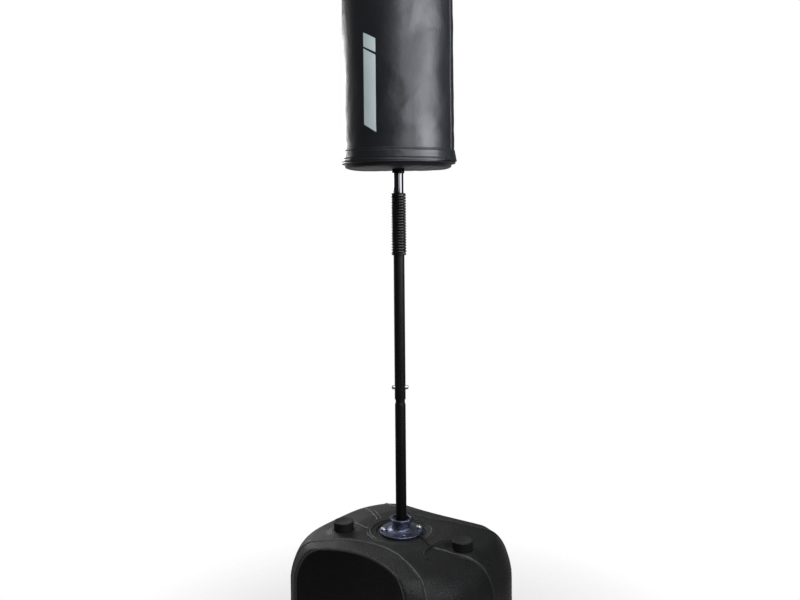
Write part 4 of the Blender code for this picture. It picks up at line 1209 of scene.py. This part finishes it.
def around(azimuth, centre):
    """Distance along the bag's girth from one azimuth to another."""
    return ((azimuth - centre + math.pi) % TURN - math.pi) * BAG_R


def settle_cover():
    """Radial moves of the cover between its bands, as rows from the lower band to the upper one."""
    low, high = BAG_BOTTOM_Z + BAND_HEIGHT, BAG_TOP_Z - BAND_HEIGHT
    rows = round((high - low) / BAG_ROW)
    points = []
    sewn = []
    for k in range(rows + 1):
        for azimuth in BAG_AZIMUTHS:
            if k in (0, rows) or abs(around(azimuth, SEAM_AZIMUTH)) < 0.5 * SEAM_WIDTH:
                sewn.append(len(points))
            points.append((*polar(BAG_R, azimuth), low + (high - low) * k / rows))
    places = settle(points, grid_faces(rows, BAG_COLUMNS), sewn, COVER_PRESSURE, COVER_GROWTH)
    moves = np.hypot(places[:, 0], places[:, 1]).reshape(rows + 1, BAG_COLUMNS) - BAG_R
    for _ in range(COVER_SMOOTHING):
        beside = np.roll(moves, 1, axis=1) + np.roll(moves, -1, axis=1)
        moves[1:-1] = 0.5 * moves[1:-1] + 0.125 * (moves[:-2] + moves[2:] + beside[1:-1])
    return COVER_MOVE * np.tanh(moves / COVER_MOVE)


settled_cover = settle_cover()


def settled_move(azimuth, z):
    """The simulated move at a place on the cover, between its grid's four nearest points."""
    rows = len(settled_cover) - 1
    low, high = BAG_BOTTOM_Z + BAND_HEIGHT, BAG_TOP_Z - BAND_HEIGHT
    row = rows * (z - low) / (high - low)
    if not 0.0 <= row < rows:
        return 0.0
    column = azimuth / TURN * BAG_COLUMNS
    k, i = int(row), math.floor(column)
    t, s = row - k, column - i
    pair = settled_cover[k:k + 2]
    lower, upper = pair[:, i % BAG_COLUMNS] * (1.0 - s) + pair[:, (i + 1) % BAG_COLUMNS] * s
    return float(lower * (1.0 - t) + upper * t)


def crease_rise(azimuth, z):
    """Height of the soft creases, sharper on their lower side."""
    rise = 0.0
    for (start, low), (end, high), height, width in CREASES:
        run = Vector((math.radians(end - start) * BAG_R, high - low))
        place = Vector((around(azimuth, math.radians(start)), z - low))
        t = place.dot(run) / run.length_squared
        if not -0.5 < t < 1.5:
            continue
        side = (place.x * run.y - place.y * run.x) / run.length
        spread = width if side > 0.0 else 2.2 * width
        rise += height * portion(1.5 - abs(2.0 * t - 1.0)) * math.exp(-(side / spread) ** 2)
    return rise


def fullness(azimuth):
    """How much fuller the bag is on its right side."""
    return BAG_FULLNESS * max(math.cos(azimuth), 0.0) ** 2


def cover_radius(azimuth, z):
    """Radius of the cover's outside, with its soft hollows, creases and waves."""
    free = portion(min(z - BAG_BOTTOM_Z, BAG_TOP_Z - z), BAND_HEIGHT, BAND_HEIGHT + COVER_FREE)
    x, y = polar(1.0, azimuth)
    wave = noise.noise(Vector((1.7 * x, 1.7 * y, 5.0 * z)))
    change = COVER_SWELL + COVER_WAVE * wave + settled_move(azimuth, z) + crease_rise(azimuth, z)
    for degrees, height, half_width, half_height, depth in HOLLOWS:
        across = around(azimuth, math.radians(degrees)) / half_width
        up = (z - height) / half_height
        change -= depth * math.exp(-across * across - up * up)
    return BAG_R - COVER_BELOW_BAND + fullness(azimuth) + free * change


def bag_ring(bm, radius_at, z_at):
    """A ring of vertices round the bag, with its radius and height given by azimuth."""
    return [bm.verts.new((*polar(radius_at(a), a), z_at(a))) for a in BAG_AZIMUTHS]


def build_cover():
    """Closed skin of the padded drum, with a bore for the rod and its sleeve."""
    low, high = BAG_BOTTOM_Z + COVER_INSET, BAG_TOP_Z - COVER_INSET
    rows = int((high - low) / BAG_ROW)
    bore, rim = SLEEVE_R + GAP, BAG_R - 0.0030
    bm = bmesh.new()
    rings = [[bm.verts.new((0.0, 0.0, BORE_TOP_Z))] * BAG_COLUMNS]
    for radius, z in ((bore, BORE_TOP_Z), (bore, low), (0.5 * BAG_R, low), (rim, low)):
        rings.append(bag_ring(bm, lambda a: radius, lambda a: z))
    for k in range(rows + 1):
        z = low + 0.0015 + (high - low - 0.003) * k / rows
        rings.append(bag_ring(bm, lambda a: cover_radius(a, z), lambda a: z))
    for radius in (rim, 0.5 * BAG_R):
        rings.append(bag_ring(bm, lambda a: radius, lambda a: high))
    rings.append([bm.verts.new((0.0, 0.0, high))] * BAG_COLUMNS)
    join_rings(bm, rings, closed=False)
    cover = piece("padded_cover", bm, "cover", 60.0)
    stand_in(cover, "bag", "bag_cover", "bag_core")


def hem(azimuth, sign):
    """How far the sewn lower edge strays from level: it hangs low in front and is drawn up behind."""
    return HEM_LEAN * math.sin(azimuth) if sign > 0.0 else 0.0


def band_z(azimuth, fraction, edge, sign):
    """Height on a band, whose edges aren't quite level."""
    side = math.cos(azimuth) ** 2
    lower = hem(azimuth, sign) + BAND_SIDE_LIFT * side
    upper = BAND_TOP_LIFT * side + 0.0007 * math.sin(2.0 * azimuth + sign)
    return edge + sign * (BAND_HEIGHT * fraction + lower * (1.0 - fraction) + upper * fraction)


def band_radius(azimuth, fraction, end):
    """Radius of a band's outside; fraction runs from the bag's end to the band's far edge."""
    x, y = polar(1.0, azimuth)
    flare = (BAND_FLARE + BAND_LIP * max(x, 0.0) ** 2) * (1.0 - fraction) ** 1.5
    ripple = noise.noise(Vector((6.0 * x + end, 6.0 * y, 3.0 * fraction)))
    pull = 0.0
    for row in STITCH_ROWS:
        pull += STITCH_GROOVE * math.exp(-(((fraction - row) * BAND_HEIGHT / STITCH_GROOVE_WIDTH) ** 2))
    return BAG_R + BAND_THICKNESS + fullness(azimuth) + flare + BAND_RIPPLE * ripple - pull


def build_band(end, edge, sign):
    """A sewn binding round one end, with a turned-in lip and two rows of stitches."""
    bm = bmesh.new()
    rings = []
    for fraction in BAND_ROWS:
        roll = BAND_END_ROLL * portion(-fraction, -0.12, 0.0)
        roll += BAND_EDGE_ROLL * portion(fraction, 0.95, 1.0)
        rings.append(bag_ring(bm, lambda a: band_radius(a, fraction, sign) - roll,
                              lambda a: band_z(a, fraction, edge, sign)))
    for fraction in (1.0, 0.5, 0.02):
        rings.append(bag_ring(bm, lambda a: BAG_R + 0.0001 + fullness(a),
                              lambda a: band_z(a, fraction, edge, sign)))
    join_rings(bm, rings)
    band = piece(f"sewn_band_{end}", bm, "leather", 60.0)
    stand_in(band, "bag", f"bag_{end}_band")
    build_stitches(end, edge, sign)


def add_stitch(bm, centre, along, out):
    """A short rounded thread, half sunk in the leather."""
    up = along.cross(out)
    rings = []
    for t, scale in ((-1.0, 0.35), (-0.7, 0.9), (0.0, 1.0), (0.7, 0.9), (1.0, 0.35)):
        middle = centre + along * (0.5 * STITCH_LENGTH * t) + out * (0.0003 * (1.0 - t * t))
        section = [polar(STITCH_R * scale, TURN * i / 6) for i in range(6)]
        rings.append([bm.verts.new(middle + up * a + out * b) for a, b in section])
    join_capped(bm, rings)


def build_stitches(end, edge, sign):
    bm = bmesh.new()
    count = int(TURN * BAG_R / STITCH_PITCH)
    for fraction in STITCH_ROWS:
        for azimuth in (TURN * i / count for i in range(count)):
            out = Vector((*polar(1.0, azimuth), 0.0))
            z = band_z(azimuth, fraction, edge, sign)
            centre = out * band_radius(azimuth, fraction, sign) + UP * z
            add_stitch(bm, centre, Vector((-out.y, out.x, 0.0)), out)
    stitches = piece(f"band_stitches_{end}", bm, "thread", 80.0)
    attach(stitches, "bag")


def crowned(t):
    """Rise of an end panel at a fraction of the way from its middle to its sewn edge."""
    rim = math.sqrt(1.0 - t**12)
    return PANEL_BULGE * rim * (PANEL_MIDDLE + (1.0 - PANEL_MIDDLE) * min(1.5 * t, 1.0))


def settle_panel(hole, reach):
    """Places of an end panel's points, as rows from its middle to its sewn edge."""
    points = []
    for k in range(PANEL_STEPS + 1):
        t = k / PANEL_STEPS
        points += [(*polar(hole + (reach - hole) * t, azimuth), crowned(t)) for azimuth in BAG_AZIMUTHS]
    shape = (PANEL_STEPS + 1, BAG_COLUMNS, 3)
    last = PANEL_STEPS * BAG_COLUMNS
    sewn = [*range(BAG_COLUMNS), *range(last, last + BAG_COLUMNS)]
    faces = [face[::-1] for face in grid_faces(PANEL_STEPS, BAG_COLUMNS)]
    return settle(points, faces, sewn, PANEL_PRESSURE, PANEL_GROWTH, PANEL_SUPPORT).reshape(shape)


def build_panel(end, edge, sign):
    """A crowned end panel; the lower one has a hole for the sleeve."""
    base = edge + sign * PANEL_INSET
    rows = settle_panel(SLEEVE_R + GAP, BAG_R - PIPING_R - 2.0 * GAP)
    bm = bmesh.new()

    def add_row(row, lift):
        ring = []
        for x, y, rise in row:
            azimuth, out = math.atan2(y, x), math.hypot(x, y) / BAG_R
            stray = hem(azimuth, sign) * out
            if sign > 0.0:
                stray -= PANEL_SIDE_SAG * math.cos(azimuth) ** 2 * out * min(rise / PANEL_BULGE, 1.0)
            ring.append(bm.verts.new((x, y, base + stray - sign * (max(rise, 0.0) - lift))))
        return ring

    rings = [add_row(row, 0.0) for row in rows] + [add_row(row, PANEL_THICKNESS) for row in rows[::-1]]
    if end == "top":
        rise = float(rows[0][:, 2].mean())
        outer = bm.verts.new((0.0, 0.0, base - sign * rise))
        inner = bm.verts.new((0.0, 0.0, base - sign * (rise - PANEL_THICKNESS)))
        rings = [[outer] * BAG_COLUMNS, *rings, [inner] * BAG_COLUMNS]
    join_rings(bm, rings, closed=end == "bottom")
    panel = piece(f"end_panel_{end}", bm, "leather", 60.0)
    stand_in(panel, "bag", f"bag_{end}_panel")


def build_piping(end, edge, sign):
    bm = bmesh.new()
    rings = []
    for i, azimuth in enumerate(BAG_AZIMUTHS):
        radius = PIPING_R * (1.0 + 0.05 * noise.noise(Vector((40.0 * i / BAG_COLUMNS, 0.0, sign))))
        middle = edge + sign * 0.0004 + hem(azimuth, sign)
        section = [polar(radius, TURN * k / 10) for k in range(10)]
        rings.append([bm.verts.new((*polar(BAG_R + fullness(azimuth) + x, azimuth), middle + z))
                      for x, z in section])
    join_rings(bm, rings)
    piping = piece(f"end_piping_{end}", bm, "leather", 80.0)
    stand_in(piping, "bag", f"bag_{end}_piping")


def build_seam():
    """The lap over the cover's upright seam, with a row of stitches near each edge."""
    low = BAG_BOTTOM_Z + BAND_HEIGHT + 0.002
    high = BAG_TOP_Z - BAND_HEIGHT - 0.002
    rows = int((high - low) / BAG_ROW)
    lifts = ((0.0, -0.0004), (0.02, 0.0006), (0.06, SEAM_THICKNESS), (0.5, 1.1 * SEAM_THICKNESS),
             (0.94, SEAM_THICKNESS), (0.98, 0.0006), (1.0, -0.0004), (0.9, -0.0008), (0.1, -0.0008))

    def across(t):
        return SEAM_AZIMUTH + SEAM_WIDTH / BAG_R * (t - 0.5)

    bm = bmesh.new()
    rings = []
    for k in range(rows + 1):
        z = low + (high - low) * k / rows
        places = [polar(cover_radius(across(t), z) + lift, across(t)) for t, lift in lifts]
        rings.append([bm.verts.new((*place, z)) for place in places])
    join_capped(bm, rings)
    strip = piece("seam_lap", bm, "leather", 50.0)
    stand_in(strip, "bag", "bag_seam_strip")
    bm = bmesh.new()
    for t in SEAM_STITCHES:
        out = Vector((*polar(1.0, across(t)), 0.0))
        for k in range(int((high - low) / STITCH_PITCH)):
            z = low + STITCH_PITCH * (k + 0.5)
            add_stitch(bm, out * (cover_radius(across(t), z) + SEAM_THICKNESS) + UP * z, UP, out)
    stitches = piece("seam_stitches", bm, "thread", 80.0)
    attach(stitches, "bag")


def repaint():
    """Finish the CAD nodes that keep their own shape."""
    finishes = {
        "water_fill": "water", "cap_gasket_left": "rubber", "cap_gasket_right": "rubber",
        "flange_bush": "plastic", "spring_lower_plug": "paint",
        "spring_upper_plug": "paint", "rod_end_cap": "plastic", "bag_sleeve": "plastic",
    }
    for number in range(1, 5):
        finishes[f"threaded_insert_{number}"] = "brass"
    for node, key in finishes.items():
        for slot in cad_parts[node].material_slots:
            slot.material = materials[key]


# Camera, floor and light


def build_camera():
    camera = bpy.data.cameras.new("camera")
    camera.lens = CAMERA_LENS
    camera.sensor_width = 36.0
    camera.shift_y = CAMERA_SHIFT
    camera.clip_start = 0.05
    obj = add_object("camera", camera)
    level = Matrix.Rotation(math.pi / 2.0, 4, "X")
    roll = Matrix.Rotation(math.radians(CAMERA_ROLL), 4, "Z")
    obj.matrix_world = Matrix.Translation(CAMERA_PLACE) @ level @ roll
    bpy.context.scene.camera = obj


def build_floor():
    """A pale disc under the object, which grows clear towards its rim."""
    bm = bmesh.new()
    bmesh.ops.create_circle(bm, cap_ends=True, radius=FLOOR_R, segments=128)
    mesh = bpy.data.meshes.new("floor")
    bm.to_mesh(mesh)
    bm.free()
    floor = add_object("floor", mesh)
    finish = Finish("pale_floor", (0.86, 0.86, 0.86), 0.9)
    radius = finish.node("VectorMath", {0: finish.place}, operation="LENGTH").outputs["Value"]
    seen = finish.node("LightPath").outputs["Is Camera Ray"]
    finish.set(
        Alpha=finish.remap(radius, FLOOR_SOLID_R, 0.75 * FLOOR_R, 1.0, 0.0),
        Emission_Color=(*WHITE, 1.0),
        Emission_Strength=finish.math("MULTIPLY", seen, FLOOR_GLOW),
    )
    mesh.materials.append(finish.material)
    floor.location.z = -0.0005


def add_lamp(name, azimuth, distance, height, size, radiance, aim, spread, colour):
    """A soft box; azimuth turns to the right from the camera's side of the object."""
    lamp = bpy.data.lights.new(name, "AREA")
    lamp.shape = "RECTANGLE"
    lamp.size, lamp.size_y = size
    lamp.energy = radiance * math.pi * size[0] * size[1]
    lamp.color = colour
    lamp.spread = math.radians(spread)
    obj = add_object(name, lamp)
    x, y = polar(distance, math.radians(azimuth - 90.0))
    obj.location = (x, y, height)
    obj.rotation_euler = (UP * aim - obj.location).to_track_quat("-Z", "Y").to_euler()
    obj.visible_camera = False


def build_world():
    """White to the camera, and a room for the light."""
    world = bpy.data.worlds.new("studio")
    world.use_nodes = True
    bpy.context.scene.world = world
    world.node_tree.nodes.clear()
    tree = Nodes(world.node_tree)
    place = tree.node("TexCoord").outputs["Generated"]
    path = tree.node("LightPath").outputs

    def toward(direction):
        inputs = {0: place, 1: direction}
        return tree.node("VectorMath", inputs, operation="DOT_PRODUCT").outputs["Value"]

    def both(first, second):
        return tree.math("MULTIPLY", first, second)

    def either(first, second):
        return tree.math("ADD", first, second, clamp=True)

    def background(strength):
        return tree.node("Background", {"Color": (*WHITE, 1.0), "Strength": strength}).outputs[0]

    rise = toward(UP)
    wall = tree.remap(toward(WALL_DIRECTION), *WALL_RANGE)
    wall = both(wall, tree.remap(rise, 0.6 * WALL_TOP, WALL_TOP, 1.0, 0.0))
    wall = both(wall, tree.remap(rise, 0.0, WALL_FOOT))
    floor = tree.remap(toward(PALE_FLOOR_DIRECTION), *PALE_FLOOR_RANGE, 0.0, PALE_FLOOR)
    floor = both(floor, tree.remap(rise, PALE_FLOOR_TOP, 0.0, 1.0, 0.0))
    mirror = either(path["Is Glossy Ray"], path["Is Transmission Ray"])
    seen = either(path["Is Camera Ray"], both(mirror, either(wall, floor)))
    room = tree.remap(toward(ROOM_DIRECTION), *ROOM_RANGE, ROOM_FRONT, ROOM_BACK)
    mix = tree.node("MixShader", {0: seen, 1: background(room), 2: background(1.0)})
    tree.node("OutputWorld", {"Surface": mix.outputs[0]})


build_tank()
build_necks()
build_caps()
build_straps()
build_flange()
build_bolts()
build_post()
build_clip()
build_spring()
build_cover()
for end, edge, sign in (("bottom", BAG_BOTTOM_Z, 1.0), ("top", BAG_TOP_Z, -1.0)):
    build_band(end, edge, sign)
    build_panel(end, edge, sign)
    build_piping(end, edge, sign)
build_seam()
repaint()
build_camera()
build_floor()
for name, settings in LAMPS.items():
    add_lamp(name, *settings)
build_world()
bpy.context.scene.view_settings.view_transform = "Standard"
